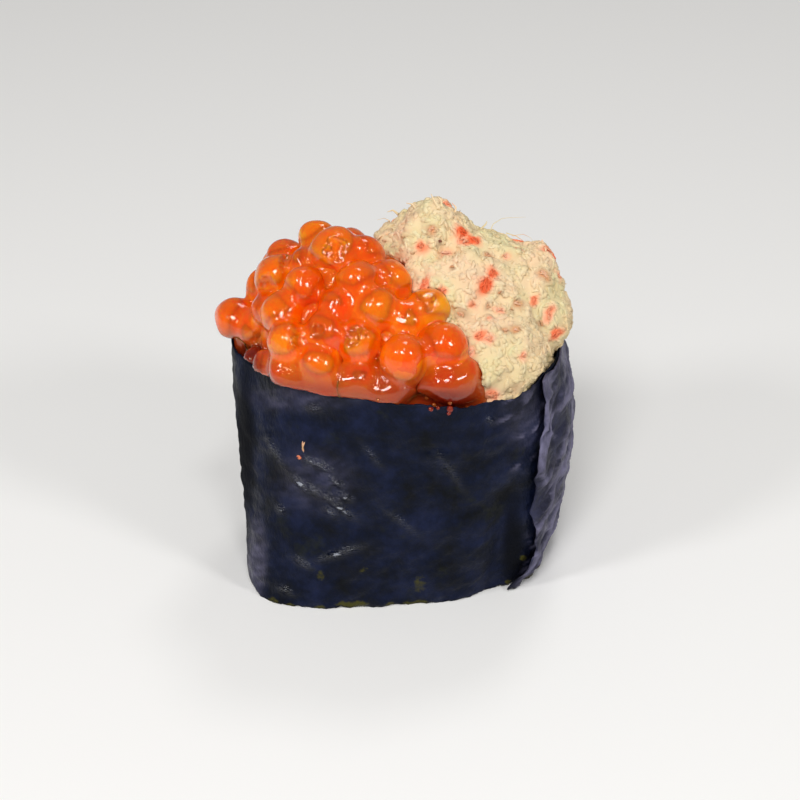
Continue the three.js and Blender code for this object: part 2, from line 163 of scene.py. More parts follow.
# Shreds strewn over the crab, and finer fibres that stand off it: to each square mm, the seed, the smallest
# size as a share, tilt in radians, how deep they sink, and each shape's length, width, bend, seed and sides.
STREWN = {
    "crab_shreds": (1.65, 5, 0.5, 0.1, 0.12, [
        (2.2, 1.2, 0.3, 1, 6), (1.6, 1.3, -0.2, 2, 6), (2.8, 0.8, 0.5, 3, 6), (1.3, 1, 0.1, 4, 6),
    ]),
    "crab_fibres": (0.12, 8, 0.4, 0.35, 0, [(2.2, 0.16, 0.4, 5, 3), (1.6, 0.2, -0.3, 6, 3)]),
}

ROOM = 0.78  # how close eggs may come, as a share of their two radii
CREASE_SHADE_RED = 0.3  # how far the creases between eggs go towards red, as painted shade
PAINTED_SEAM_RED = dict(red=0.6, on_egg=0.018, on_film=0.08)  # the same where film and egg meet, as painted red that makes up for light lost there, and how soon it fades
TONE_BLEND = 0.25  # how softly one egg's tone goes over into the next one's, in mm
FILM = dict(high=0.42, low=1.0, bare=0.03)  # how softly the film bridges the eggs; how much it leaves bare
FILM_SKIN = dict(voxel=0.36, rounds=6)  # of the remesh, and of smoothing after it
CRAB_SKIN = dict(voxel=0.42, rounds=2)
SWAY = dict(size=3.8, reach=0.5)
# Of cooked rice. The spacing is a share of the width, and the tilt is in radians.
GRAIN = dict(length=5.4, width=2.9, height=2.3, pressed=0.35, bed=1.2, spacing=0.72, tilt=0.16)
# Dents in the eggs out of sight: how many eggs have one, its width and its depth.
SLACK = dict(share=0.35, narrowest=2, widest=3, shallowest=0.3, deepest=0.6)
INNER_EGG = dict(tries=900, lowest=34.4, highest=47, deepest=1.5, smallest=2.5, largest=2.9, room=0.8)

# ---- the camera, which the placed pieces are aimed from ----
VIEW_DISTANCE = 300
VIEW_ELEVATION = math.radians(32)
VIEW_FOCUS = 2115  # focal length in pixels of the 800 pixel image
IMAGE = 800
SENSOR = 36
VIEW_TARGET = np.array([0, 0, 24])
FORWARD = np.array([0, math.cos(VIEW_ELEVATION), -math.sin(VIEW_ELEVATION)])
UPWARD = np.array([0, math.sin(VIEW_ELEVATION), math.cos(VIEW_ELEVATION)])
EYE = VIEW_TARGET - VIEW_DISTANCE * FORWARD

# ---- what is placed one by one, by its middle in the image: x and y in pixels, then ----
# The eggs at the front: diameter in mm, tone from -1 (dark red: the deeper red of an egg seen through,
# and painted shade on the low and shadowed eggs) over 0 (orange) to 1 (amber), and how far out of the mound
# each stands in mm.
FRONT_EGGS = [
    (235, 319, 6, -0.1, 1.4), (265, 288, 5.5, 0, 0.3), (256, 327, 5, 0.2, -2.2), (282, 314, 5.8, 0.25, 0.4),
    (285, 258, 5.3, -0.05, 0), (316, 240, 5.2, 0.9, -0.4), (335, 249, 6.4, 0, 0.5),
    (305, 286, 5.6, -0.1, 0.2), (358, 284, 6.4, 0.1, 0.9), (389, 282, 6.2, 0.15, 0),
    (364, 256, 5.6, -0.1, -0.7), (337, 307, 5.4, 0, 0.4), (375, 309, 6.2, 0.25, 0.6),
    (428, 309, 5.8, 1, 0.2), (405, 322, 5.2, 0.6, -0.8), (443, 347, 6.8, -0.1, 0.4),
    (404, 357, 6.2, -0.05, 1.2), (360, 341, 5.6, 0.05, 0.6), (326, 330, 5.6, -0.1, 0.5),
    (288, 343, 6.2, 0.05, 0.6), (320, 364, 5.8, -0.05, 0.4), (254, 361, 4.2, -1, -1.1),
    (362, 378, 6, -0.1, 0), (289, 371, 6, -0.2, -0.1), (325, 388, 5.6, -0.25, -0.7),
    (391, 391, 6.2, -0.3, -0.7), (446, 382, 6.2, -0.35, -0.3), (464, 376, 4.8, -0.25, 0.2),
]
# Dents in slack eggs: width and depth in mm.
DENTS = [
    (336, 249, 3.4, 0.8), (266, 287, 3, 0.7), (352, 335, 3.2, 0.8), (286, 259, 2.6, 0.6),
    (382, 282, 2.6, 0.5), (428, 302, 2.6, 0.5), (300, 340, 2.4, 0.4), (316, 331, 2.2, 0.5),
]
# Flakes of crab leg skin: length and width in mm, turn of the length from level, and shade from 0 (red)
# over 0.6 (pale) and 0.8 (tan) to 1 (dark brown).
FLAKES = [
    (462, 232, 1.7, 1, -8, 0), (475, 241, 1.5, 1.1, -42, 0.05), (464, 242, 1.3, 1.1, 40, 0.45),
    (486, 285, 2.3, 0.9, 58, 0), (492, 274, 1.5, 0.9, 70, 0.1), (421, 247, 1.3, 1, 50, 0.3),
    (446, 254, 1.5, 0.8, 20, 0.6), (432, 230, 1.2, 0.7, 25, 0.7), (439, 242, 0.8, 0.6, 25, 1),
    (448, 205, 1, 0.8, -30, 0.4), (488, 256, 0.9, 0.7, 40, 0.7), (506, 256, 0.9, 0.5, 80, 0.6),
    (425, 285, 2.2, 0.7, 80, 0.35), (443, 291, 1.1, 0.9, 20, 0.3), (472, 305, 1.1, 0.6, -5, 0.4),
    (488, 307, 0.8, 0.7, 0, 0.78), (499, 310, 1.3, 0.5, 4, 0.55), (511, 310, 0.6, 0.5, 0, 0.78),
    (534, 300, 1.3, 0.5, 62, 0.3), (517, 304, 1.3, 0.6, 5, 0.7), (461, 314, 1.3, 0.8, -20, 0.76),
    (489, 319, 0.9, 0.5, -15, 0.5), (540, 324, 1, 0.8, -50, 0.76), (550, 311, 1.5, 0.6, 60, 0.4),
    (556, 334, 2, 0.6, 28, 0.2), (548, 318, 1, 0.5, 80, 0.5), (506, 331, 0.9, 0.5, 5, 0.72),
    (516, 330, 1, 0.4, 5, 0.72), (480, 336, 1.4, 0.9, 35, 0.3), (489, 339, 1.3, 0.8, -10, 0.5),
    (548, 250, 1.6, 0.8, -38, 0.45), (544, 275, 1.6, 1, -40, 0.7), (559, 276, 1, 0.5, 80, 0.5),
    (523, 356, 0.9, 0.7, 10, 0.5), (491, 395, 2, 0.8, 12, 0.4), (373, 247, 1.2, 1, 20, 0.2),
    (470, 352, 1.2, 0.6, 60, 0.6), (452, 268, 0.8, 0.4, 10, 0.8), (500, 292, 0.8, 0.4, 30, 0.8),
]
# Crumbs of crab on the nori, as the flakes are given.
CRUMBS = [(304, 446, 2, 0.3, 72, 0.72), (300, 457, 0.9, 0.7, 20, 0.3)]
# Beads of brine along the rim: diameter in mm, tone.
BEADS = [
    (427, 398, 0.6, -0.1), (434, 405, 0.6, 0.1), (431, 409, 0.7, -1), (438, 408, 0.5, -1),
    (450, 403, 0.6, -0.1), (450, 409, 0.9, -1), (449, 413, 0.6, -1), (467, 407, 0.5, -0.6),
    (378, 400, 0.5, 0.1),
]
# Dark red where brine has run down to the rim, and painted shade at the roe's lower left: half width and
# half height in pixels, strength.
DRIPS_AND_SHADE = [(446, 403, 38, 12, 1), (246, 362, 16, 18, 0.9)]
# What the sheet shows at the front, in the same way: purple-grey painted sheen, black painted shade, and
# olive-green patches.
PURPLE_SHEEN_PATCHES = [
    (257, 556, 10, 36, 0.6), (300, 398, 60, 12, 0.3), (315, 480, 40, 30, 0.2), (524, 412, 22, 36, 0.25),
]
# Painted shade: near-black down the left edge and in the fold left of the flap.
PAINTED_SHADE_PATCHES = [(245, 445, 10, 75, 1), (513, 545, 11, 48, 0.9)]
OLIVE_PATCHES = [
    (320, 576, 6, 8, 0.8), (364, 570, 8, 4, 0.7), (420, 584, 9, 12, 0.8), (543, 452, 4, 16, 0.5),
    (523, 558, 5, 4, 1), (508, 582, 5, 3, 1), (290, 607, 9, 5, 1), (352, 604, 22, 4, 1),
    (390, 605, 6, 5, 1),
]
# Wet wrinkles, which glint and carry painted pale glints, then dry folds, whose crests carry painted sheen:
# half length in pixels, turn from level, height in mm.
WRINKLES = [
    (310, 461, 9, -28, 0.3), (322, 466, 13, -31, 0.35), (336, 482, 9, -30, 0.3), (313, 490, 10, -38, 0.3),
    (345, 497, 8, -20, 0.3), (331, 512, 8, -34, 0.35), (300, 483, 12, -45, 0.35), (329, 498, 12, -25, 0.3),
    (342, 509, 15, -34, 0.35), (281, 509, 5, -50, 0.3), (302, 562, 10, -30, 0.3), (339, 553, 22, 18, 0.35),
    (285, 590, 7, -25, 0.3), (314, 408, 8, -15, 0.25), (490, 420, 4, -40, 0.25), (372, 455, 16, -50, 0.15),
    (400, 520, 20, -38, 0.15), (450, 470, 22, -55, 0.15), (275, 450, 14, -60, 0.2),
]
FOLDS = [
    (557, 462, 16, 68, 0.45), (549, 396, 15, 58, 0.4), (561, 402, 12, 80, 0.35), (546, 505, 14, 62, 0.4),
    (535, 548, 12, -58, 0.35), (550, 432, 9, -48, 0.35), (527, 566, 12, 60, 0.35), (543, 470, 8, 80, 0.35),
    (526, 400, 13, 52, 0.4), (513, 396, 11, 40, 0.3), (535, 428, 10, 66, 0.35), (521, 436, 9, -42, 0.3),
    (506, 418, 9, 36, 0.3), (530, 462, 9, 60, 0.3), (517, 465, 8, 30, 0.25),
]
# Hairs and tufts that stand off the crab: width in mm, and the way each goes in the image, from its root.
HAIRS = [
    (0.16, [(490, 232), (493, 224), (503, 218), (526, 217)]),
    (0.16, [(506, 233), (516, 236), (525, 242), (533, 251)]),
    (0.1, [(512, 236), (523, 234), (531, 238), (534, 244)]),
    (0.1, [(500, 236), (513, 241), (522, 250), (526, 256)]), (0.14, [(390, 221), (384, 218), (377, 220)]),
    (0.5, [(438, 207), (434, 200), (431, 194)]), (0.4, [(442, 207), (441, 200), (437, 196)]),
    (0.4, [(416, 209), (412, 204), (406, 203)]), (0.4, [(455, 213), (456, 207), (452, 203)]),
    (0.35, [(480, 230), (486, 224), (487, 221)]), (0.4, [(398, 214), (393, 210), (387, 212)]),
]


# ---- small helpers ----
def scatter(n, k):
    """A repeatable number from 0 to 1 for each pair of whole numbers."""
    wave = math.sin(n * 12.9898 + k * 78.233) * 43758.5453
    return wave - math.floor(wave)


def lerp(a, b, t):
    return a + (b - a) * t


def smoothstep(value, low, high):
    t = np.clip((value - low) / (high - low), 0, 1)
    return t * t * (3 - 2 * t)


def cos_sin(angle):
    return np.cos(np.radians(angle)), np.sin(np.radians(angle))


def grain(points, size):
    """Smooth noise from about -1 to 1 at each point, with features about `size` mm across."""
    values = [noise.noise(Vector(point)) for point in (points / size).reshape(-1, 3)]
    return np.reshape(values, points.shape[:-1])


def wandering(points, size):
    """A smooth random direction at each point."""
    return np.stack([grain(points + shift, size) for shift in (0, 40, 80)], axis=-1)


def lumpiness(points, size):
    """The same slow lumpiness as the solids have."""
    x, y, z = (points / size).T
    total = np.sin(x * 2.1 + np.sin(y * 1.7 + 1.3))
    total += np.sin(y * 2.3 + np.sin(z * 1.9 + 0.4))
    total += np.sin(z * 2.2 + np.sin(x * 2.6 + 2.1))
    return total / 3


def linear(code):
    """An sRGB hex colour as the linear colour that Blender takes."""
    channels = [int(code[i : i + 2], 16) / 255 for i in (1, 3, 5)]
    return [*(c / 12.92 if c <= 0.04045 else ((c + 0.055) / 1.055) ** 2.4 for c in channels), 1]


def new_object(name, data):
    thing = bpy.data.objects.new(name, data)
    bpy.context.scene.collection.objects.link(thing)
    return thing


def make_object(name, points, faces, material=None):
    """A mesh object from points in mm, moved with the middle of the whole over the origin."""
    mesh = bpy.data.meshes.new(name)
    mesh.from_pydata(((np.asarray(points) - MIDDLE) * MM).tolist(), [], faces)
    mesh.validate()
    mesh.shade_smooth()
    if material:
        mesh.materials.append(material)
    return new_object(name, mesh)


def mesh_points(piece):
    """A piece's points in mm, in the frame that the sizes are given in."""
    points = np.empty(len(piece.data.vertices) * 3)
    piece.data.vertices.foreach_get("co", points)
    return points.reshape(-1, 3) / MM + MIDDLE


def mesh_normals(piece):
    normals = np.empty(len(piece.data.vertices) * 3)
    piece.data.vertex_normals.foreach_get("vector", normals)
    return normals.reshape(-1, 3)


def move_points(piece, points):
    piece.data.vertices.foreach_set("co", ((points - MIDDLE) * MM).ravel())
    piece.data.update()


def surface_of(piece):
    """What rays are cast on, in mm."""
    faces = [tuple(face.vertices) for face in piece.data.polygons]
    return BVHTree.FromPolygons([Vector(point) for point in mesh_points(piece)], faces)


def store(piece, name, values):
    """Stores a number at each point of a piece, for its material or for a tree of nodes."""
    piece.data.attributes.new(name, "FLOAT", "POINT").data.foreach_set("value", np.asarray(values, float))


def settle(piece, name):
    """Rides a finished piece on the sushi and hides the solid that it stands for, which has the same name."""
    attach(piece, "root")
    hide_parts(name)


def baked(piece, name):
    """A new object that holds the piece's mesh with its modifiers applied. The piece itself goes."""
    evaluated = piece.evaluated_get(bpy.context.evaluated_depsgraph_get())
    mesh = bpy.data.meshes.new_from_object(evaluated)
    mesh.name = name
    for material in piece.data.materials:
        if material and material.name not in mesh.materials:
            mesh.materials.append(material)
    bpy.data.objects.remove(piece)
    return new_object(name, mesh)


def connect(tree, node, inputs):
    """Gives a node's inputs a value or a hex colour, or links a socket, or a node's first output in use."""
    for key, value in inputs.items():
        if isinstance(value, bpy.types.Node):
            value = next(socket for socket in value.outputs if socket.enabled)
        if isinstance(value, bpy.types.NodeSocket):
            tree.links.new(value, node.inputs[key])
        else:
            node.inputs[key].default_value = linear(value) if str(value).startswith("#") else value


def add(tree, kind, inputs=(), stops=(), **settings):
    """Adds a node with its settings and its inputs, as `connect` takes them. The stops of a colour ramp are
    pairs of a position and a hex colour."""
    families = ("ShaderNode", "GeometryNode", "FunctionNode", "Node")
    node = tree.nodes.new(next(family + kind for family in families if hasattr(bpy.types, family + kind)))
    for name, value in settings.items():
        setattr(node, name, value)
    for n, (position, code) in enumerate(stops):
        elements = node.color_ramp.elements
        stop = elements[n] if n < 2 else elements.new(position)
        stop.position = position
        stop.color = linear(code)
    connect(tree, node, dict(inputs))
    return node


# ---- the wall that every piece follows ----
def squarish(cosine, sine, length, depth, power):
    """How far a rounded oblong reaches in a direction."""
    return (np.abs(cosine / length) ** power + np.abs(sine / depth) ** power) ** (-1 / power)


def outline(angle, height):
    """Points of the wall's outline, seen from above."""
    mix = {key: lerp(FOOT[key], RIM[key], height) for key in FOOT}
    belly = 4 * height * (1 - height)
    half_length = mix["half_length"] + BELLY["bulge"] * belly
    cosine, sine = cos_sin(angle)
    reach = squarish(cosine, sine, half_length, mix["front"], mix["squareness"])
    along = reach * cosine
    side = np.where(sine < 0, 1, mix["back"] / mix["front"])
    across = reach * sine * side * (1 - np.sign(sine) * mix["skew"] * along / half_length)
    cosine, sine = cos_sin(mix["turn"])
    x = along * cosine - across * sine + mix["x"] + BELLY["shift"] * belly
    y = along * sine + across * cosine + mix["y"]
    return np.stack([x, y], axis=-1)


def outwards(angle, height):
    step = outline(angle + 1, height) - outline(angle - 1, height)
    normal = np.stack([step[..., 1], -step[..., 0]], axis=-1)
    return normal / np.linalg.norm(normal, axis=-1, keepdims=True)


def turn_between(start, end):
    return (end - start + 180) % 360 - 180


def relief(angle, height):
    """How far the wall's creases and small waves stand out (+) or in (-)."""
    turned = np.radians(angle)
    depth = CRINKLE * np.sin(11 * turned + 5 * height) * np.sin(4 * turned + 9 * height)
    for middle_angle, width, deep, low, high, slant in CREASES:
        away = turn_between(middle_angle + slant * height, angle)
        fade = 1 - smoothstep(np.abs(height - (low + high) / 2) / ((high - low) / 2), 0.5, 1)
        depth = depth - deep * fade * np.exp(-((away / width) ** 2))
    return depth


def foot_height(angle):
    return FOOT_WAVE * (1 + 0.6 * np.sin(np.radians(7 * angle)) + 0.4 * np.sin(np.radians(17 * angle)))


def rim_height(angle):
    slow = np.sin(np.radians(3 * (angle + 13)))
    return NORI_WIDTH + RIM_WAVE * (0.7 * slow + 0.3 * np.sin(np.radians(13 * angle)))


def wall_point(angle, height, inset, z=None):
    """Points of the wall, `inset` mm inside its outer face."""
    angle, height = np.broadcast_arrays(np.asarray(angle, float), np.asarray(height, float))
    out = relief(angle, height) - inset
    flat = outline(angle, height) + outwards(angle, height) * np.asarray(out)[..., None]
    if z is None:
        z = lerp(foot_height(angle), rim_height(angle), height)
    return np.concatenate([flat, np.broadcast_to(z, angle.shape)[..., None]], axis=-1)


def keep_inside(points, inset, overhang=1.0):
    """Draws points in, so that they stay inside the wall, and above it lean out by no more than a slope."""
    levels = np.arange(0, NORI_WIDTH + 1, 2.5)
    direction = np.arctan2(points[:, 1], points[:, 0])
    by_level = []
    for level in levels:
        x, y, _ = wall_point(np.arange(0, 360, 2), level / NORI_WIDTH, inset).T
        around = np.arctan2(y, x)
        order = np.argsort(around)
        by_level.append(np.interp(direction, around[order], np.hypot(x, y)[order], period=2 * math.pi))
    by_level = np.array(by_level)
    place = np.clip(points[:, 2], 0, levels[-1]) / levels[1]
    lower = np.minimum(place.astype(int), len(levels) - 2)
    here = np.arange(len(points))
    limit = lerp(by_level[lower, here], by_level[lower + 1, here], place - lower)
    limit = limit + overhang * np.maximum(points[:, 2] - NORI_WIDTH, 0)
    length = np.hypot(points[:, 0], points[:, 1])
    shrink = np.where(length > limit, limit / np.maximum(length, 1e-6), 1)
    return points * np.stack([shrink, shrink, np.ones_like(shrink)], axis=-1)


# ---- closed shapes, as points and faces ----
def quads(grid):
    """The faces of a grid of point numbers."""
    corners = grid[:-1, :-1], grid[1:, :-1], grid[1:, 1:], grid[:-1, 1:]
    return np.stack(corners, axis=-1).reshape(-1, 4).tolist()


def loft(rings):
    """A closed loft through rings that have the same number of points."""
    count = len(rings[0])
    grid = np.arange(len(rings) * count).reshape(-1, count)
    grid = np.hstack([grid, grid[:, :1]])
    points = np.concatenate([*rings, [np.mean(rings[0], axis=0), np.mean(rings[-1], axis=0)]])
    bottom, top = len(points) - 2, len(points) - 1
    faces = quads(grid.T)
    faces += [(bottom, b, a) for a, b in zip(grid[0], grid[0][1:])]
    faces += [(top, a, b) for a, b in zip(grid[-1], grid[-1][1:])]
    return points, faces


def ball(at, radius, steps=10):
    cosine, sine = cos_sin(np.arange(0, 360, 180 / steps))
    rings = []
    for level in range(1, steps):
        polar = math.pi * level / steps - math.pi / 2
        ring = [cosine * math.cos(polar), sine * math.cos(polar), np.full(len(cosine), math.sin(polar))]
        rings.append(np.stack(ring, axis=-1))
    points, faces = loft(rings)
    return points * radius + at, faces


def strand_shape(length, width, bend, seed, sides=4):
    """A short bent shred with tapering ends, lying along X."""
    rings = []
    for step in range(STRAND["steps"] + 1):
        t = step / STRAND["steps"]
        swell = max(STRAND["slimmest"], 1 - abs(2 * t - 1) ** 3)
        swell *= lerp(STRAND["thinner"], STRAND["thicker"], scatter(seed, step))
        aside = bend * math.sin(math.pi * t), 0.3 * bend * math.sin(math.tau * t)
        middle = np.array([(t - 0.5) * length, *aside])
        cosine, sine = cos_sin(np.arange(sides) * 360 / sides + STRAND["twist"] * step)
        ring = np.stack([np.zeros(sides), cosine * swell * width / 2, sine * swell * width / 3])
        rings.append(middle + ring.T)
    return loft(rings)


def merged(shapes):
    """Several shapes' points and faces as one list of each."""
    points, faces, start = [], [], 0
    for shape_points, shape_faces in shapes:
        points.append(shape_points)
        faces += [tuple(index + start for index in face) for face in shape_faces]
        start += len(shape_points)
    return np.concatenate(points), faces


def fused(name, shapes, material, voxel, rounds):
    """One smooth closed skin round several shapes."""
    piece = make_object(name, *merged(shapes), material)
    remesh = piece.modifiers.new("fuse", "REMESH")
    remesh.mode = "VOXEL"
    remesh.voxel_size = voxel * MM
    remesh.use_smooth_shade = True
    smooth = piece.modifiers.new("smooth", "SMOOTH")
    smooth.factor = 0.5
    smooth.iterations = rounds
    return baked(piece, name)


# ---- what the camera sees ----
def aim(px, py):
    """Where the camera looks through a pixel of the image: a direction from the eye."""
    ray = FORWARD * VIEW_FOCUS + np.array([1, 0, 0]) * (px - IMAGE / 2) + UPWARD * (IMAGE / 2 - py)
    return ray / np.linalg.norm(ray)


def under_pixel(tree, px, py):
    """The point and normal of a surface that the camera sees at a pixel."""
    point, normal, _, _ = tree.ray_cast(Vector(EYE), Vector(aim(px, py)))
    return (None, None) if point is None else (np.array(point), np.array(normal))


def beside_pixel(points, px, py):
    """The place on a pixel's line of sight that comes closest to any of the points."""
    ray = aim(px, py)
    depths = (points - EYE) @ ray
    gaps = np.linalg.norm(points - EYE - depths[:, None] * ray, axis=1)
    return EYE + depths[np.argmin(gaps)] * ray


def seen_at(points):
    """The pixels at which the camera sees points."""
    away = points - EYE
    scale = VIEW_FOCUS / (away @ FORWARD)
    return IMAGE / 2 + scale * away[..., 0], IMAGE / 2 - scale * (away @ UPWARD)


def patches_at(px, py, patches):
    """How strongly soft patches cover points seen at some pixels."""
    cover = np.zeros_like(px)
    for x, y, wide, tall, strength in patches:
        away = ((px - x) / wide) ** 2 + ((py - y) / tall) ** 2
        cover = np.maximum(cover, strength * np.exp(-(away**2)))
    return cover


def wrinkled(px, py, wrinkles):
    """How strongly wrinkles mark points seen at some pixels, and how far they raise the sheet there."""
    mark, raised = np.zeros_like(px), np.zeros_like(px)
    for x, y, half_length, turn, tall in wrinkles:
        cosine, sine = cos_sin(turn)
        along = ((px - x) * cosine - (py - y) * sine) / half_length
        across = ((px - x) * sine + (py - y) * cosine) / WRINKLE_WIDTH
        mark = np.maximum(mark, np.exp(-(along**2) - (across / 2) ** 2) * tall / 0.35)
        raised = np.maximum(raised, tall * np.exp(-(along**2) - across**2))
    return mark, raised


# ---- salmon roe: where the eggs lie ----
PARTING_NORMAL = np.array([*cos_sin(PARTING["angle"]), 0])


def beyond_parting(points):
    return points @ PARTING_NORMAL - PARTING["distance"]


def mound_point(angle, z, shrink=0):
    """Points of the mound's outline through the egg centres at a given height."""
    rise = np.clip((z - MOUND["z"]) / MOUND["height"], 0, 1)
    level = 1 - rise**MOUND_STEEPNESS
    cosine, sine = cos_sin(angle)
    length = np.where(cosine < 0, MOUND["left"], MOUND["right"])
    depth = np.where(sine < 0, MOUND["front"], MOUND["back"])
    away = turn_between(SPILL["angle"], angle) / SPILL["width"]
    bulge = SPILL["reach"] * np.exp(-(away**2))
    spill = 1 + bulge * (1 - smoothstep(z, SPILL["low"], SPILL["high"]))
    reach = level * spill * squarish(cosine, sine, length, depth, MOUND["squareness"]) - shrink
    z = np.broadcast_to(z, np.shape(reach))
    return np.stack([MOUND["x"] + reach * cosine, MOUND["y"] + reach * sine, z], axis=-1)


def row_eggs():
    """Egg centres and radii, row by row, as the solids have them."""
    eggs = [(np.array(LOOSE_EGG), EGG["radius"])]
    for row, (height, start) in enumerate(ROWS):
        loop = mound_point(start + np.arange(361), height)
        lengths = np.concatenate([[0], np.cumsum(np.linalg.norm(np.diff(loop, axis=0), axis=1))])
        count = max(1, math.floor(lengths[-1] / EGG["spacing"] + 0.5))
        for n in range(count):
            key = row * ROW_SEEDS + n
            at = loop[np.searchsorted(lengths, lengths[-1] * n / count)].copy()
            at += [(2 * scatter(key, k) - 1) * EGG["wander"] for k in (1, 2, 3)]
            at[2] -= ROW_TILT * (at[0] - MOUND["x"])
            radius = EGG["radius"] * lerp(EGG["smallest"], EGG["largest"], scatter(key, 4))
            if beyond_parting(at) < -EGG["sunk"]:
                eggs.append((at, radius))
    return eggs


def has_room(at, radius, eggs, room):
    """Whether an egg would keep off the other eggs, and out of the crab that leans over the roe."""
    middle, half = (np.array(part) for part in CRAB_LEANS[0])
    if np.linalg.norm((at - middle) / (half + LEAN_KEEPS_OFF)) < 1:
        return False
    return all(np.linalg.norm(at - other) > room * (radius + size) for other, size, _ in eggs)


def lay_eggs():
    """The placed front eggs, the rows' eggs wherever those leave room, and others in the gaps, a little
    deeper: centre, radius, tone."""
    points, faces = loft([mound_point(ROUND, MOUND["z"] + rise) for rise in np.arange(-4, 14.9, 0.7)])
    tree = BVHTree.FromPolygons([Vector(point) for point in points], faces)
    eggs = []
    for px, py, diameter, tone, proud in FRONT_EGGS:
        at, _ = under_pixel(tree, px, py)
        if at is None:
            at = beside_pixel(points, px, py)
        eggs.append((at - aim(px, py) * proud, diameter / 2, tone))
    placed = eggs.copy()
    for n, (at, radius) in enumerate(row_eggs()):
        if has_room(at, radius, placed, ROOM):
            eggs.append((at, radius, 0.3 * scatter(n, 9) ** 2))
    for n in range(INNER_EGG["tries"]):
        z = lerp(INNER_EGG["lowest"], INNER_EGG["highest"], scatter(n, 21))
        at = mound_point(360 * scatter(n, 22), z, INNER_EGG["deepest"] * scatter(n, 23))
        at[2] -= ROW_TILT * (at[0] - MOUND["x"])
        radius = lerp(INNER_EGG["smallest"], INNER_EGG["largest"], scatter(n, 24))
        if beyond_parting(at) < -EGG["sunk"] and has_room(at, radius, eggs, INNER_EGG["room"]):
            eggs.append((at, radius, 0.5 * scatter(n, 25) - 0.3))
    return eggs


# ---- finishes: each gives what the shader takes, by socket ----
# Leg skin by its shade, from red over pale and tan to dark brown.
SKIN_SHADES = [(0, "#f4602c"), (0.35, "#f28a60"), (0.65, "#f2b896"), (0.8, "#dca070"), (1, "#7c4634")]


def place_mm(tree):
    """The point's place in mm, which every pattern scales from."""
    place = add(tree, "TexCoord").outputs["Object"]
    return add(tree, "VectorMath", {0: place, "Scale": 1 / MM}, operation="SCALE")


def finish(name, dress):
    """A material whose shader takes what a finish gives."""
    material = bpy.data.materials.new(name)
    material.use_nodes = True
    tree = material.node_tree
    connect(tree, tree.nodes["Principled BSDF"], dress(tree))
    return material


def roe_skin(tree):
    """Salmon roe: taut clear skins round orange oil, wet with brine and with burst eggs' clear jelly. Other
    eggs show through as patches. The top of each egg is painted deeper in colour, as painted shade, since
    light gathers in the lower half, and below its middle the wet skin has a painted reflection of the pale
    table.
    Towards the rim the colour is painted darker red, as painted shade. The skin isn't quite taut, which
    breaks the lamps' reflections up."""
    mm = place_mm(tree)
    tone, crease_shade = (add(tree, "Attribute", attribute_name=name).outputs["Fac"] for name in ("tone", "crease_shade"))
    facing = add(tree, "NewGeometry").outputs["Normal"]
    upward = add(tree, "SeparateXYZ", {0: facing}).outputs["Z"]
    swirls = add(tree, "TexNoise", {"Vector": mm, "Scale": 0.35, "Detail": 2})
    astray = {0: swirls.outputs["Color"], 1: (3, 3, 3), 2: mm}
    bent = add(tree, "VectorMath", astray, operation="MULTIPLY_ADD")
    deeper_eggs = add(tree, "TexVoronoi", {"Vector": bent, "Scale": 0.24}).outputs["Color"]
    patch = add(tree, "SeparateXYZ", {0: deeper_eggs}).outputs["X"]
    shade = add(tree, "Mix", {0: 0.45, 2: swirls, 3: patch}, data_type="FLOAT")
    skin = add(tree, "ValToRGB", {"Fac": shade}, [(0.3, "#ee5a00"), (0.5, "#ff6e00"), (0.7, "#ff860a")])
    wavy = add(tree, "Math", {0: swirls, 1: upward})
    level = add(tree, "VectorMath", {0: mm, 1: (0, 0.15, 1)}, operation="DOT_PRODUCT")
    soft = dict(interpolation_type="SMOOTHSTEP")
    amber = add(tree, "MapRange", {"Value": tone, 1: 0, 2: 1})
    # painted shade: the tops of the eggs go deeper in colour
    top = add(tree, "MapRange", {"Value": wavy, 1: 0.98, 2: 1.24, 3: 0, 4: 0.7}, **soft)
    # painted reflection of the pale table on the lower half of each egg
    painted_table_reflection = add(tree, "MapRange", {"Value": wavy, 1: 0.54, 2: 0.48, 3: 0, 4: 0.22}, **soft)
    # painted shade: darker red towards the rim
    thin = add(tree, "MapRange", {"Value": level, 1: 38.4, 2: 34.4, 3: 0, 4: 0.85})
    # tones below 0 go dark red: the deeper red of eggs seen through, and painted shade on low and shadowed
    # eggs
    dark_red_and_shade = add(tree, "MapRange", {"Value": tone, 1: 0, 2: -1})
    for share, code in (
        (amber, "#ffa010"),
        (top, "#dc5e00"),
        # painted shade in the creases, and painted red where film and egg meet to make up for light lost
        # there
        (crease_shade, "#fa3e00"),
        (painted_table_reflection, "#ee7440"),
        (thin, "#a23e1a"),
        (dark_red_and_shade, "#76190a"),
    ):
        skin = add(tree, "Mix", {0: share, 6: skin, 7: code}, data_type="RGBA")
    dimples = add(tree, "TexNoise", {"Vector": mm, "Scale": 1.2, "Detail": 3, "Roughness": 0.6})
    return {
        "Base Color": skin,
        "Normal": add(tree, "Bump", {"Height": dimples, "Distance": 0.18 * MM, "Strength": 0.75}),
        "Roughness": 0.03,
        "IOR": 1.33,
        "Specular Tint": "#ffc488",
        "Coat Weight": 0.8,
        "Coat Roughness": 0.02,
        "Subsurface Weight": 1,
        "Subsurface Radius": (1, 0.3, 0.1),
        "Subsurface Scale": 3 * MM,
    }


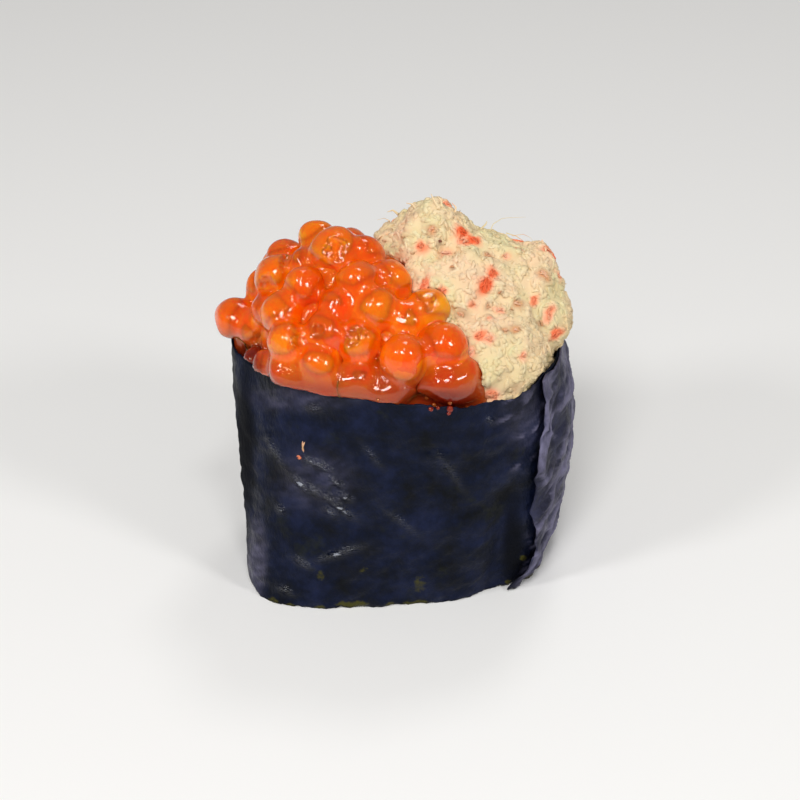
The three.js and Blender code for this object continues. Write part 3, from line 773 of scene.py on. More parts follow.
def crab_flesh(tree):
    """Steamed crab pulled into shreds: moist, cream to yellowish, each shred its own shade, and pink where
    leg skin has rubbed off on it. Lower down it is painted darker and yellower, as painted shade."""
    mm = place_mm(tree)
    names = ("shade", "blush", "hue")
    own, rubbed, hue = (add(tree, "Attribute", attribute_name=name).outputs["Fac"] for name in names)
    patches = add(tree, "TexNoise", {"Vector": mm, "Scale": 0.17, "Detail": 2})
    broad = add(tree, "ValToRGB", {"Fac": patches}, [(0.36, "#eec8a8"), (0.5, "#ead1a6"), (0.62, "#dcd4a0")])
    stops = [(0, "#dcbf94"), (0.3, "#e8cfa4"), (0.65, "#eedbb6"), (0.85, "#efc7a2"), (1, "#e3dbaa")]
    shred = add(tree, "ValToRGB", {"Fac": own}, stops)
    height = add(tree, "SeparateXYZ", {0: mm}).outputs["Z"]
    # painted shade: darker and yellower towards the bottom
    painted_low_shade = add(tree, "MapRange", {"Value": height, 1: 45, 2: 35, 3: 0.04, 4: 0.5})
    paler = add(tree, "Math", {0: rubbed, 1: -0.35, 2: hue}, operation="MULTIPLY_ADD")
    worn = add(tree, "Math", {0: paler, 1: 0.3})
    skin = add(tree, "ValToRGB", {"Fac": worn}, SKIN_SHADES)
    stain = add(tree, "MapRange", {"Value": rubbed, 1: 0.08, 2: 0.6, 3: 0, 4: 0.95})
    flesh = broad
    for share, colour in ((0.5, shred), (painted_low_shade, "#d2bf90"), (stain, skin)):
        flesh = add(tree, "Mix", {0: share, 6: flesh, 7: colour}, data_type="RGBA")
    fibres = add(tree, "TexNoise", {"Vector": mm, "Scale": 1.6, "Detail": 3})
    return {
        "Base Color": flesh,
        "Normal": add(tree, "Bump", {"Height": fibres, "Distance": 0.2 * MM, "Strength": 0.25}),
        "Roughness": 0.75,
        "Specular IOR Level": 0.3,
        "Subsurface Weight": 0.15,
        "Subsurface Radius": (1, 0.8, 0.6),
        "Subsurface Scale": 0.4 * MM,
    }


def crab_skin(tree):
    """Leg skin of cooked crab: thin orange-red flakes, paler where they are thin."""
    pale = add(tree, "Attribute", attribute_name="shade").outputs["Fac"]
    mottle = add(tree, "TexNoise", {"Vector": place_mm(tree), "Scale": 1.2, "Detail": 2})
    worn = add(tree, "Math", {0: mottle, 1: 0.3, 2: -0.15}, operation="MULTIPLY_ADD")
    shade = add(tree, "Math", {0: pale, 1: worn})
    return {
        "Base Color": add(tree, "ValToRGB", {"Fac": shade}, SKIN_SHADES),
        "Roughness": 0.55,
        "Subsurface Weight": 0.3,
        "Subsurface Radius": (1, 0.5, 0.3),
        "Subsurface Scale": 0.4 * MM,
    }


def roasted_nori(tree):
    """Nori: seaweed pulp pressed into a sheet, roasted, then gone damp on the rice. Near black, with a blue
    cast, a fine felt of fibres, green where it is thin, and glints where it is wet. Its purple-grey is
    painted sheen, black patches are painted shade, and pale streaks along the wet wrinkles are painted
    glints."""
    mm = place_mm(tree)
    names = ("lap_sheen", "fringe", "black", "wet")
    lap_sheen, fringe, black, wet = (add(tree, "Attribute", attribute_name=name).outputs["Fac"] for name in names)
    clouds = add(tree, "TexNoise", {"Vector": mm, "Scale": 0.2, "Detail": 5, "Roughness": 0.65})
    pulp = add(tree, "ValToRGB", {"Fac": clouds}, [(0.34, "#01040c"), (0.5, "#050d22"), (0.68, "#141c38")])
    dry = add(tree, "MapRange", {"Value": clouds, 1: 0.38, 2: 0.56, 3: 0.5, 4: 1})
    # painted sheen: the lapped end goes purple-grey, lighter on the crests of its folds
    lapped = add(tree, "Math", {0: lap_sheen, 1: dry}, operation="MULTIPLY")
    patches = add(tree, "TexNoise", {"Vector": mm, "Scale": 0.13, "Detail": 4, "Roughness": 0.7})
    weak = add(tree, "MapRange", {"Value": patches, 1: 0.6, 2: 0.74, 3: 0, 4: 0.5})
    torn = add(tree, "TexNoise", {"Vector": mm, "Scale": 1.1, "Detail": 3, "Roughness": 0.7})
    broken = add(tree, "Math", {0: fringe, 1: torn})
    green = add(tree, "MapRange", {"Value": broken, 1: 1.1, 2: 1.4, 3: 0, 4: 0.9})
    slanted = add(tree, "Mapping", {"Vector": mm, "Scale": (0.7, 1, 2), "Rotation": (0, 0.6, 0)})
    puckers = add(tree, "TexNoise", {"Vector": slanted, "Scale": 1.3, "Detail": 2})
    swollen = add(tree, "Math", {0: puckers, 1: wet}, operation="MULTIPLY")
    # painted glints: pale streaks where the wet wrinkles pucker
    bright = add(tree, "MapRange", {"Value": swollen, 1: 0.44, 2: 0.56, 3: 0, 4: 0.8})
    sheet = pulp
    for share, code in (
        (lapped, "#73708a"),
        # painted shade in the black patches
        (black, "#06080f"),
        (weak, "#26280f"),
        (green, "#454214"),
        (bright, "#a4a9b4"),
    ):
        sheet = add(tree, "Mix", {0: share, 6: sheet, 7: code}, data_type="RGBA")
    stretch = add(tree, "Mapping", {"Vector": mm, "Scale": (1, 1, 0.5), "Rotation": (0, 0.6, 0)})
    fibres = add(tree, "TexNoise", {"Vector": stretch, "Scale": 1.8, "Detail": 4, "Roughness": 0.6})
    bump = add(tree, "Bump", {"Height": fibres, "Distance": 0.3 * MM, "Strength": 0.7})
    rippled = add(tree, "Bump", {"Height": swollen, "Distance": 1.2 * MM, "Strength": 1, "Normal": bump})
    damp = add(tree, "MapRange", {"Value": patches, 1: 0.36, 2: 0.5, 3: 0.3, 4: 0.6})
    matt = add(tree, "Mix", {0: black, 2: damp, 3: 0.95}, data_type="FLOAT")
    return {
        "Base Color": sheet,
        "Normal": rippled,
        "Coat Normal": rippled,
        "Roughness": add(tree, "Mix", {0: wet, 2: matt, 3: 0.12}, data_type="FLOAT"),
        "Coat Weight": wet,
        "IOR": 1.45,
        "Specular IOR Level": 0.15,
    }


def cooked_rice(tree):
    """Cooked short-grain rice with vinegar: off-white, a little clear, and sticky bright."""
    chalk = add(tree, "TexNoise", {"Vector": place_mm(tree), "Scale": 0.5, "Detail": 2})
    return {
        "Base Color": add(tree, "Mix", {0: chalk, 6: "#efeadb", 7: "#faf7ee"}, data_type="RGBA"),
        "Roughness": 0.35,
        "Subsurface Weight": 0.3,
        "Subsurface Radius": (1, 0.8, 0.6),
        "Subsurface Scale": 0.8 * MM,
    }


def studio_floor(_tree):
    """A plain pale matt table."""
    return {"Base Color": "#f4f3f1", "Roughness": 0.6}


# ---- trees of geometry nodes ----
def new_tree(name, **inputs):
    """A tree with named inputs, and the sockets that give them."""
    tree = bpy.data.node_groups.new(name, "GeometryNodeTree")
    for label, kind in inputs.items():
        tree.interface.new_socket(label, in_out="INPUT", socket_type="NodeSocket" + kind)
    tree.interface.new_socket("Geometry", in_out="OUTPUT", socket_type="NodeSocketGeometry")
    return tree, add(tree, "GroupInput").outputs


def grow(piece, tree, name, **values):
    """Runs a tree on a piece with its named inputs set, and returns the plain mesh that comes out."""
    modifier = piece.modifiers.new("grow", "NODES")
    modifier.node_group = tree
    for item in tree.interface.items_tree:
        if item.in_out == "INPUT" and item.name in values:
            modifier[item.identifier] = values[item.name]
    return baked(piece, name)


def egg_tree():
    """An egg on every point, sized by its radius."""
    tree, given = new_tree("salmon eggs", Points="Geometry", Subdivisions="Int", Material="Material")
    egg = add(tree, "MeshIcoSphere", {"Radius": 1.0, "Subdivisions": given["Subdivisions"]})
    radius = add(tree, "InputNamedAttribute", {"Name": "radius"}, data_type="FLOAT")
    laid = add(tree, "InstanceOnPoints", {"Points": given["Points"], "Instance": egg, "Scale": radius})
    real = add(tree, "RealizeInstances", {"Geometry": laid})
    smooth = add(tree, "SetShadeSmooth", {"Geometry": real})
    skin = add(tree, "SetMaterial", {"Geometry": smooth, "Material": given["Material"]})
    add(tree, "GroupOutput", {"Geometry": skin})
    return tree


def scatter_tree():
    """Copies of a few shapes strewn over a surface, lying along it at all angles, some of them tilted."""
    sizes = dict(Density="Float", Seed="Int", Smallest="Float", Tilt="Float", Sink="Float")
    inputs = dict(Surface="Geometry", Shapes="Collection", **sizes, Material="Material")
    tree, given = new_tree("strewn shreds", **inputs)
    bare = add(tree, "InputNamedAttribute", {"Name": "bare"}, data_type="FLOAT")
    density = add(tree, "Math", {0: bare, 1: given["Density"]}, operation="MULTIPLY")
    strewn = {"Mesh": given["Surface"], "Density": density, "Seed": given["Seed"]}
    points = add(tree, "DistributePointsOnFaces", strewn)
    picked = {"Collection": given["Shapes"], "Separate Children": True, "Reset Children": True}
    shapes = add(tree, "CollectionInfo", picked)
    vector = dict(data_type="FLOAT_VECTOR")
    spin = add(tree, "RandomValue", {"Min": (0, 0, -math.pi), "Max": (0, 0, math.pi), "Seed": 11}, **vector)
    most = add(tree, "CombineXYZ", {"Y": given["Tilt"]})
    least = add(tree, "VectorMath", {0: most, "Scale": -1.0}, operation="SCALE")
    tilt = add(tree, "RandomValue", {"Min": least, "Max": most, "Seed": 12}, **vector)
    turned = points.outputs["Rotation"]
    for turn in (spin, tilt):
        turned = add(tree, "RotateRotation", {"Rotation": turned, "Rotate By": turn}, rotation_space="LOCAL")
    size = add(tree, "RandomValue", {2: given["Smallest"], 3: 1.0, "Seed": 13}, data_type="FLOAT")
    down = add(tree, "Math", {0: given["Sink"], 1: -1.0}, operation="MULTIPLY")
    inwards = add(tree, "VectorMath", {0: points.outputs["Normal"], "Scale": down}, operation="SCALE")
    sunk = add(tree, "SetPosition", {"Geometry": points, "Offset": inwards})
    copies = {"Points": sunk, "Instance": shapes, "Pick Instance": True, "Rotation": turned, "Scale": size}
    laid = add(tree, "InstanceOnPoints", copies)
    own = add(tree, "RandomValue", {2: 0.0, 3: 1.0, "Seed": 14}, data_type="FLOAT")
    each = dict(data_type="FLOAT", domain="INSTANCE")
    shaded = add(tree, "StoreNamedAttribute", {"Geometry": laid, "Name": "shade", "Value": own}, **each)
    real = add(tree, "RealizeInstances", {"Geometry": shaded})
    flesh = add(tree, "SetMaterial", {"Geometry": real, "Material": given["Material"]})
    add(tree, "GroupOutput", {"Geometry": flesh})
    return tree


def grain_tree():
    """Grains lying at all angles over a bed. Each is pressed flat at a level of its own near the ground."""
    sizes = dict(Spacing="Float", Length="Float", Width="Float", Height="Float", Tilt="Float")
    tree, given = new_tree("rice grains", Bed="Geometry", **sizes, Material="Material")
    strewn = {"Mesh": given["Bed"], "Distance Min": given["Spacing"], "Density Max": 1 / MM**2, "Seed": 4}
    points = add(tree, "DistributePointsOnFaces", strewn, distribute_method="POISSON")
    kernel = add(tree, "MeshIcoSphere", {"Radius": 1.0, "Subdivisions": 3})
    size = add(tree, "CombineXYZ", {0: given["Length"], 1: given["Width"], 2: given["Height"]})
    back = add(tree, "Math", {0: given["Tilt"], 1: -1.0}, operation="MULTIPLY")
    least = add(tree, "CombineXYZ", {0: back, 1: back, 2: -math.pi})
    most = add(tree, "CombineXYZ", {0: given["Tilt"], 1: given["Tilt"], 2: math.pi})
    turn = add(tree, "RandomValue", {"Min": least, "Max": most, "Seed": 21}, data_type="FLOAT_VECTOR")
    copies = {"Points": points, "Instance": kernel, "Rotation": turn, "Scale": size}
    laid = add(tree, "InstanceOnPoints", copies)
    rest = add(tree, "RandomValue", {2: 0.0, 3: 0.12 * MM, "Seed": 22}, data_type="FLOAT")
    each = dict(data_type="FLOAT", domain="INSTANCE")
    rested = add(tree, "StoreNamedAttribute", {"Geometry": laid, "Name": "rest", "Value": rest}, **each)
    real = add(tree, "RealizeInstances", {"Geometry": rested})
    x, y, z = add(tree, "SeparateXYZ", {0: add(tree, "InputPosition")}).outputs
    ground = add(tree, "InputNamedAttribute", {"Name": "rest"}, data_type="FLOAT")
    height = add(tree, "Math", {0: z, 1: ground}, operation="MAXIMUM")
    pressed = add(tree, "CombineXYZ", {0: x, 1: y, 2: height})
    flat = add(tree, "SetPosition", {"Geometry": real, "Position": pressed})
    smooth = add(tree, "SetShadeSmooth", {"Geometry": flat})
    rice = add(tree, "SetMaterial", {"Geometry": smooth, "Material": given["Material"]})
    add(tree, "GroupOutput", {"Geometry": rice})
    return tree


# ---- pieces ----
def make_nori():
    """The strip, wound once round and lapped over its own start, with both faces and ragged edges."""
    start = SEAM + OVERLAP
    columns = round((360 + OVERLAP) / COLUMN_STEP)
    turned = start - np.arange(columns + 1) * COLUMN_STEP
    angle, height = np.meshgrid(turned, np.arange(SHEET_ROWS + 1) / SHEET_ROWS, indexing="ij")
    climb = 1 - smoothstep(angle, start - 360, start - 360 + LAP["ramp"])
    near_end = 1 - smoothstep(angle, SEAM - 360, SEAM - 360 + FLAP["span"])
    lift = climb * LAP["lift"] + near_end * FLAP["lift"] * (1 - FLAP["taper"] * height)
    near_edge = 1 - smoothstep(angle, SEAM - 360, SEAM - 360 + FLAP["edge_span"])
    angle = angle + near_edge * (FLAP["lean"] * (height - 0.5) + np.interp(height, *np.array(FLAP_EDGE).T))

    flat = np.stack([angle * WALL_ROUND, height * NORI_WIDTH, 0 * height], axis=-1)
    slanted = flat @ SLANT * [0.45, 1, 1]
    places = dict(slow=flat * [0.6, 1, 1], slanted=slanted, fine=flat)
    ripples = sum(tall * grain(places[name], size) for name, (tall, size) in RIPPLES.items())
    lift = lift + ripples * np.minimum(1, 0.35 + np.abs(height - 1) * 4)
    crumpled = -CRUMPLE_SINKS * climb
    painted_fold_light = 0
    # each fold also paints its crests lighter, as painted light
    for tall, size, stretch, shift, painted_crest_light in CRUMPLES:
        folds = climb * (0.5 - np.abs(grain(slanted * stretch + shift, size)))
        crumpled = crumpled + tall * folds * np.minimum(1, 6 * (1 - height) + 0.3)
        painted_fold_light = painted_fold_light + painted_crest_light * folds
    lift = lift + crumpled
    streaks = smoothstep(grain(slanted * [0.6, 1, 1] + [5, 2, 0], 0.8), -0.15, 0.35)
    edge = flat * [1, 0, 0]
    ragged = sum(tall * grain(edge + [0, shift, 0], size) for tall, size, shift in RAGGED)
    frayed = smoothstep(grain(edge + [0, 3.1, 0], 4), 0, 0.3) * smoothstep(-flat[..., 1], -1.4, -0.2)

    seen = seen_at(wall_point(angle, height, -lift))
    front = smoothstep(np.cos(np.radians(angle + 90)), -0.3, 0.1)
    # the front's patches: purple-grey painted sheen, black painted shade, and olive
    patches = (PURPLE_SHEEN_PATCHES, PAINTED_SHADE_PATCHES, OLIVE_PATCHES)
    purple, black, olive = (front * patches_at(*seen, kind) for kind in patches)
    wet, wet_raised = wrinkled(*seen, WRINKLES)
    dry, dry_raised = wrinkled(*seen, FOLDS)
    # the dry folds' crests get more of the purple-grey painted sheen
    purple = np.maximum(purple * lerp(0.45, 1, streaks), 0.7 * front * dry * streaks)
    lift = lift + front * np.maximum(wet_raised, dry_raised)
    turn_columns = round(360 / COLUMN_STEP)
    lift[turn_columns:] = np.maximum(lift[turn_columns:], lift[:-turn_columns] + SHEET + LAYER_GAP)

    sides = np.stack([wall_point(angle, height, inset - lift) for inset in (SHEET, 0)])
    sides[..., 2] = np.maximum(sides[..., 2] + ragged * np.abs(2 * height - 1) ** 6, 0)
    inner, outer = both = np.arange(sides[..., 0].size).reshape(sides.shape[:3])
    faces = quads(inner) + quads(outer.T)
    faces += quads(both[:, :, 0]) + quads(both[:, :, -1].T) + quads(both[:, 0].T) + quads(both[:, -1])
    strip = make_object("nori_strip", sides.reshape(-1, 3), faces, finish("roasted nori", roasted_nori))
    # painted sheen: purple-grey over the lapped end, lighter on its fold crests, and in the purple patches
    lap_sheen = np.maximum(climb * lerp(0.15, 1, smoothstep(painted_fold_light, 0.5, 1)), purple)
    marks = dict(lap_sheen=lap_sheen, fringe=np.maximum(frayed, olive), black=black, wet=front * wet)
    for name, values in marks.items():
        store(strip, name, np.ravel([values, values]))
    return strip


def part(points, side):
    """Draws points that lie across the parting plane back to it (-1 for the roe's side, 1 for the crab's)."""
    across = np.minimum(side * beyond_parting(points) - 0.1, 0)
    drawn = points - np.outer(across * side, PARTING_NORMAL)
    if side < 0:
        drawn[:, 0] = np.minimum(drawn[:, 0], ROE_END)
    else:
        at_rim = points[:, 1] < (PARTING["distance"] - PARTING_NORMAL[0] * ROE_END) / PARTING_NORMAL[1]
        drawn[at_rim] = points[at_rim]
        drawn[at_rim, 0] = np.maximum(points[at_rim, 0], ROE_END + 0.2)
    return drawn


def filling(side, top=34.9):
    """What fills the wall on one side of the parting plane."""
    levels = np.linspace(RICE_TOP + 0.4, top, 6)
    points, faces = loft([wall_point(ROUND, z / NORI_WIDTH, SHEET + 0.1, z) for z in levels])
    return part(points, side), faces


def found_dents(film, eggs):
    """Where eggs are slack: a point on the film, the way it faces there, the dent's width and its depth."""
    tree = surface_of(film)
    dents = []
    for px, py, width, depth in DENTS:
        at, facing = under_pixel(tree, px, py)
        if at is not None:
            dents.append((at, facing, width, depth))
    for n, (at, radius, _) in enumerate(eggs[len(FRONT_EGGS) :]):
        facing = np.array([scatter(n, k) - 0.5 for k in (41, 42, 43)]) + (at - [MOUND["x"], 0, 36]) / 20
        facing /= np.linalg.norm(facing)
        if at[1] > 0 and scatter(n, 44) < SLACK["share"]:
            width = lerp(SLACK["narrowest"], SLACK["widest"], scatter(n, 45))
            depth = lerp(SLACK["shallowest"], SLACK["deepest"], scatter(n, 46))
            dents.append((at + radius * facing, facing, width, depth))
    return dents


def slackened(points, dents):
    """The points pressed in at the dents and pushed about a little, so that eggs lose their roundness. It
    goes by place alone, so eggs and film keep together."""
    moved = points.copy()
    uneven = 0.5 * grain(points, 1.1)
    for at, facing, width, depth in dents:
        away = np.linalg.norm(points - at, axis=1) / (width / 2) + uneven
        moved -= (depth * (1 - smoothstep(away, 0.45, 1)))[:, None] * facing
    return moved + SWAY["reach"] * wandering(points, SWAY["size"])


def film_gap(points, eggs):
    """How far each point lies outside the film that bridges from egg to egg, and the film's slope there."""
    melted = (1 - smoothstep(points[:, 2], 36, 40)) * smoothstep(points[:, 0], -19, -15)
    soft = lerp(FILM["high"], FILM["low"], melted)
    total = np.zeros(len(points))
    slope = np.zeros_like(points)
    for at, radius, _ in eggs:
        away = points - at
        length = np.maximum(np.linalg.norm(away, axis=1), 1e-6)
        weight = np.exp((radius - length) / soft)
        total += weight
        slope += away * (weight / length)[:, None]
    return -soft * np.log(total), slope / total[:, None]


def mark_roe(piece, eggs):
    """Stores each point's tone, darkened where the drips and painted shade lie, and how red it is in the
    creases, as painted shade, and where egg and film meet, as painted red that makes up for light lost there.
    """
    points = mesh_points(piece)
    gaps = np.array([np.linalg.norm(points - at, axis=1) - radius for at, radius, _ in eggs])
    least = np.partition(gaps, 1, axis=0)
    crease_shade = 1 - smoothstep(least[1] - least[0], 0.1, 0.9)
    above = film_gap(points, eggs)[0] + FILM["bare"]
    edge = np.exp(-((above / PAINTED_SEAM_RED["on_egg"]) ** 2) - (least[0] / PAINTED_SEAM_RED["on_film"]) ** 2)
    store(piece, "crease_shade", np.maximum(CREASE_SHADE_RED * crease_shade, PAINTED_SEAM_RED["red"] * edge))
    weights = np.exp(-gaps / TONE_BLEND)
    tones = np.array([tone for _, _, tone in eggs])
    tone = (weights * tones[:, None]).sum(axis=0) / weights.sum(axis=0)
    # dark red under the drips, and painted shade at the roe's lower left
    stained_and_shaded = (points[:, 1] < 0) * patches_at(*seen_at(points), DRIPS_AND_SHADE)
    store(piece, "tone", lerp(tone, -1, stained_and_shaded))


def make_roe(eggs, skin):
    """The eggs, and the film of brine and burst eggs that they lie in, which leaves their tops bare."""
    cloud = make_object("egg_points", [at for at, _, _ in eggs], [])
    store(cloud, "radius", [radius * MM for _, radius, _ in eggs])
    laid = grow(cloud, egg_tree(), "salmon_eggs", Subdivisions=4, Material=skin)
    points, faces = loft([mound_point(ROUND, z, 0.3) for z in (35, 37, 40, 43, 46, 48, 49)])
    shapes = [filling(-1), (part(points, -1), faces), *(ball(at, radius) for at, radius, _ in eggs)]
    film = fused("roe_brine", shapes, skin, **FILM_SKIN)
    points = mesh_points(film)
    for _ in range(4):
        gap, slope = film_gap(points, eggs)
        near = 1 - smoothstep(np.abs(gap), 0.8, 1.5)
        points = points - (near * gap / np.maximum((slope**2).sum(axis=1), 0.3))[:, None] * slope
    move_points(film, points)
    move_points(film, points - FILM["bare"] * mesh_normals(film))
    dents = found_dents(film, eggs)
    for piece, room in ((laid, 0.15), (film, 0.02)):
        mark_roe(piece, eggs)
        move_points(piece, keep_inside(slackened(mesh_points(piece), dents), SHEET + room, 3))
    return laid, film


def make_beads(surfaces, skin):
    """Beads of brine on the roe and the nori along the rim."""
    shapes, tones = [], []
    for px, py, diameter, tone in BEADS:
        hits = [at for at, _ in (under_pixel(surface, px, py) for surface in surfaces) if at is not None]
        if hits:
            at = min(hits, key=lambda hit: np.linalg.norm(hit - EYE))
            shapes.append(ball(at, diameter / 2, 8))
            tones += [tone] * len(shapes[-1][0])
    beads = make_object("brine_beads", *merged(shapes), skin)
    store(beads, "tone", tones)
    store(beads, "crease_shade", np.zeros(len(tones)))
    return beads


def crab_reach(direction):
    """How far the lumps' outside lies from the heart, along each direction."""
    reach = np.zeros(len(direction))
    for at, radii in CRAB_LUMPS:
        start = (CRAB_HEART - np.array(at)) / radii
        along = direction / radii
        a = (along**2).sum(axis=1)
        b = along @ start
        inside = b * b - a * (start @ start - 1)
        reach = np.maximum(reach, np.where(inside > 0, (-b + np.sqrt(np.maximum(inside, 0))) / a, 0))
    return reach


def clear_of_mound(points, gap):
    """Draws crab that lies in the roe's mound out of it, across the parting plane or out past its surface."""
    away = points - [MOUND["x"], MOUND["y"], 0]
    angle = np.degrees(np.arctan2(away[:, 1], away[:, 0]))
    surface = mound_point(angle, np.minimum(points[:, 2], MOUND["z"] + MOUND["height"] - 0.01))
    room = np.hypot(surface[:, 0] - MOUND["x"], surface[:, 1] - MOUND["y"]) + gap
    length = np.maximum(np.hypot(away[:, 0], away[:, 1]), 1e-6)
    under = np.maximum(room - length, 0) * (points[:, 2] < MOUND["z"] + MOUND["height"])
    short = np.maximum(gap - beyond_parting(points), 0)
    sideways = (under > 0) & (short > 0) & (short < under)
    outside = (under > 0) & (short > 0) & ~sideways
    moved = points + np.outer(np.where(sideways, short, 0), PARTING_NORMAL)
    moved[:, :2] += away[:, :2] * (np.where(outside, under, 0) / length)[:, None]
    return moved


def clear_of_eggs(points, eggs, gap):
    """Pushes points that lie in an egg out to its skin."""
    moved = points.copy()
    for at, radius, _ in eggs:
        away = moved - at
        length = np.linalg.norm(away, axis=1)
        inside = length < radius + gap
        moved[inside] = at + away[inside] / length[inside, None] * (radius + gap)
    return moved


def make_crab_core(eggs, material):
    """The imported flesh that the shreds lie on, craggy like pulled meat."""
    directions, faces = ball(np.zeros(3), 1, 40)
    directions /= np.linalg.norm(directions, axis=1, keepdims=True)
    points = CRAB_HEART + directions * crab_reach(directions)[:, None]
    crags = lumpiness(points, CRAB_CRAGS["coarse"])
    crags += CRAB_CRAGS["fine_share"] * lumpiness(points, CRAB_CRAGS["fine"])
    points = points + directions * (CRAB_CRAGS["height"] * crags)[:, None]
    points = keep_inside(clear_of_mound(points, 0.1), SHEET + 0.1)
    points[:, 2] = np.maximum(points[:, 2], RICE_TOP + 0.4)
    lean, lean_faces = ball(np.zeros(3), 1, 20)
    leans = [(lean * half + middle, lean_faces) for middle, half in CRAB_LEANS]
    shapes = [(points, faces), filling(1, 34.4), *leans]
    core = fused("crab_core", shapes, material, **CRAB_SKIN)
    points = mesh_points(core) - CRAB_ROOM * mesh_normals(core)
    rough = sum(tall * grain(points + shift, size) for tall, size, shift in CRAB_ROUGH)
    points = points + mesh_normals(core) * rough[:, None]
    points = clear_of_eggs(keep_inside(points, SHEET + 0.1), eggs, 0.12)
    move_points(core, points)
    nearest = np.min([np.linalg.norm(points - at, axis=1) - radius for at, radius, _ in eggs], axis=0)
    store(core, "bare", (points[:, 2] > 33) & (nearest > 0.15) | (points[:, 2] > 37))
    store(core, "shade", np.full(len(points), 0.2))
    return core


def make_shreds(core, flesh):
    """Shreds packed over the core, and finer fibres that stand off it."""
    strewn = scatter_tree()
    grown = []
    for name, (density, seed, smallest, tilt, sink, shapes) in STREWN.items():
        group = bpy.data.collections.new(name)
        bpy.context.scene.collection.children.link(group)
        for n, (length, width, bend, shape_seed, sides) in enumerate(shapes):
            points, faces = strand_shape(length, width, bend, shape_seed, sides)
            shape = make_object(f"{name}_{n}", points + MIDDLE, faces)
            bpy.context.scene.collection.objects.unlink(shape)
            group.objects.link(shape)
        values = dict(Density=density / MM**2, Seed=seed, Smallest=smallest, Tilt=tilt, Sink=sink * MM)
        surface = new_object("surface", core.data.copy())
        piece = grow(surface, strewn, name, Shapes=group, Material=flesh, **values)
        move_points(piece, keep_inside(mesh_points(piece), SHEET + 0.05))
        grown.append(piece)
        for shape in list(group.objects):
            bpy.data.objects.remove(shape)
        bpy.data.collections.remove(group)
    return grown


def torn_flake(at, normal, length, width, turn, seed):
    """A flake of a few torn strips on a surface, as shapes, and the directions of its length and width."""
    cosine, sine = cos_sin(turn)
    level = np.array([cosine, 0, 0]) + UPWARD * sine
    along = level - normal * (level @ normal)
    along /= np.linalg.norm(along)
    across = np.cross(normal, along)
    shapes = []
    for k in range(math.ceil(STRIPS_TO_MM2 * length * width)):
        key = 10 * seed + k
        share = lerp(STRIP["shortest"], STRIP["longest"], scatter(key, 31))
        narrow = lerp(STRIP["narrowest"], STRIP["widest"], scatter(key, 32))
        points, faces = strand_shape(length * share, narrow, STRIP["bend"], key)
        cosine, sine = cos_sin(lerp(-STRIP["turn"], STRIP["turn"], scatter(key, 33)))
        points = points @ np.array([[cosine, sine, 0], [-sine, cosine, 0], [0, 0, 1]])
        aside = (scatter(key, 34) - 0.5) * length * (1 - share), (scatter(key, 35) - 0.5) * width * 0.7
        points = points + [*aside, FLAKE_PROUD + 0.1 * scatter(key, 36)]
        shapes.append((at + points @ np.array([along, across, normal]), faces))
    return shapes, (along, across)


def placed_flakes(surface, flakes):
    """Flakes placed one by one: the point, normal, length, width, turn, shade and seed of each."""
    for n, (px, py, *form) in enumerate(flakes):
        at, normal = under_pixel(surface, px, py)
        if at is not None:
            yield at, normal, *form, n


def strewn_flakes(surface):
    """The same for flakes strewn over the sides of the crab that the camera doesn't see."""
    stray = STRAY_FLAKES
    for n in range(stray["tries"]):
        direction = Vector([scatter(n, 61) - 0.5, scatter(n, 62) - 0.5, 0.7 * scatter(n, 63) - 0.1])
        at, normal, _, _ = surface.ray_cast(Vector(CRAB_HEART), direction)
        if at is None or at.z < NORI_WIDTH or normal.dot(Vector(EYE) - at) > 0:
            continue
        length = lerp(stray["shortest"], stray["longest"], scatter(n, 64))
        width = lerp(stray["narrowest"], stray["widest"], scatter(n, 65))
        turn, shade = 360 * scatter(n, 66), stray["palest"] * scatter(n, 67)
        yield np.array(at), np.array(normal), length, width, turn, shade, stray["seed"] + n


def make_flakes(surface, sheet):
    """The flakes on the crab and the crumbs on the nori as one piece, and where those on the crab lie."""
    shapes, shades, spots = [], [], []
    kinds = (placed_flakes(surface, FLAKES), placed_flakes(sheet, CRUMBS), strewn_flakes(surface))
    for on_crab, kind in zip((True, False, True), kinds):
        for at, normal, length, width, turn, shade, seed in kind:
            strips, axes = torn_flake(at, normal, length, width, turn, seed)
            shapes += strips
            shades += [shade] * sum(len(points) for points, _ in strips)
            if on_crab:
                spots.append((at, *axes, length, width, shade))
    flakes = make_object("crab_leg_skin", *merged(shapes), finish("crab leg skin", crab_skin))
    store(flakes, "shade", shades)
    return flakes, spots


def blush_by(piece, spots):
    """Colours flesh on and near the flakes of leg skin: how strongly, and which shade of theirs."""
    points = mesh_points(piece)
    blush = np.zeros(len(points))
    hue = np.full(len(points), 0.4)
    strayed = points + 0.45 * wandering(points, 1.1)
    for at, along, across, length, width, shade in spots:
        away = strayed - at
        far = (away @ along / (BLUSH_REACH * length)) ** 2
        far = far + (away @ across / (BLUSH_REACH * width + 0.25)) ** 2
        far = far + np.maximum((away**2).sum(axis=1) - length**2, 0)
        here = np.exp(-far) * (1 - 0.6 * smoothstep(shade, 0.6, 0.8))
        hue = np.where(here > blush, shade, hue)
        blush = np.maximum(blush, here)
    store(piece, "hue", hue)
    store(piece, "blush", np.clip(blush + 0.25 * np.maximum(grain(points, 2.3), 0), 0, 1))


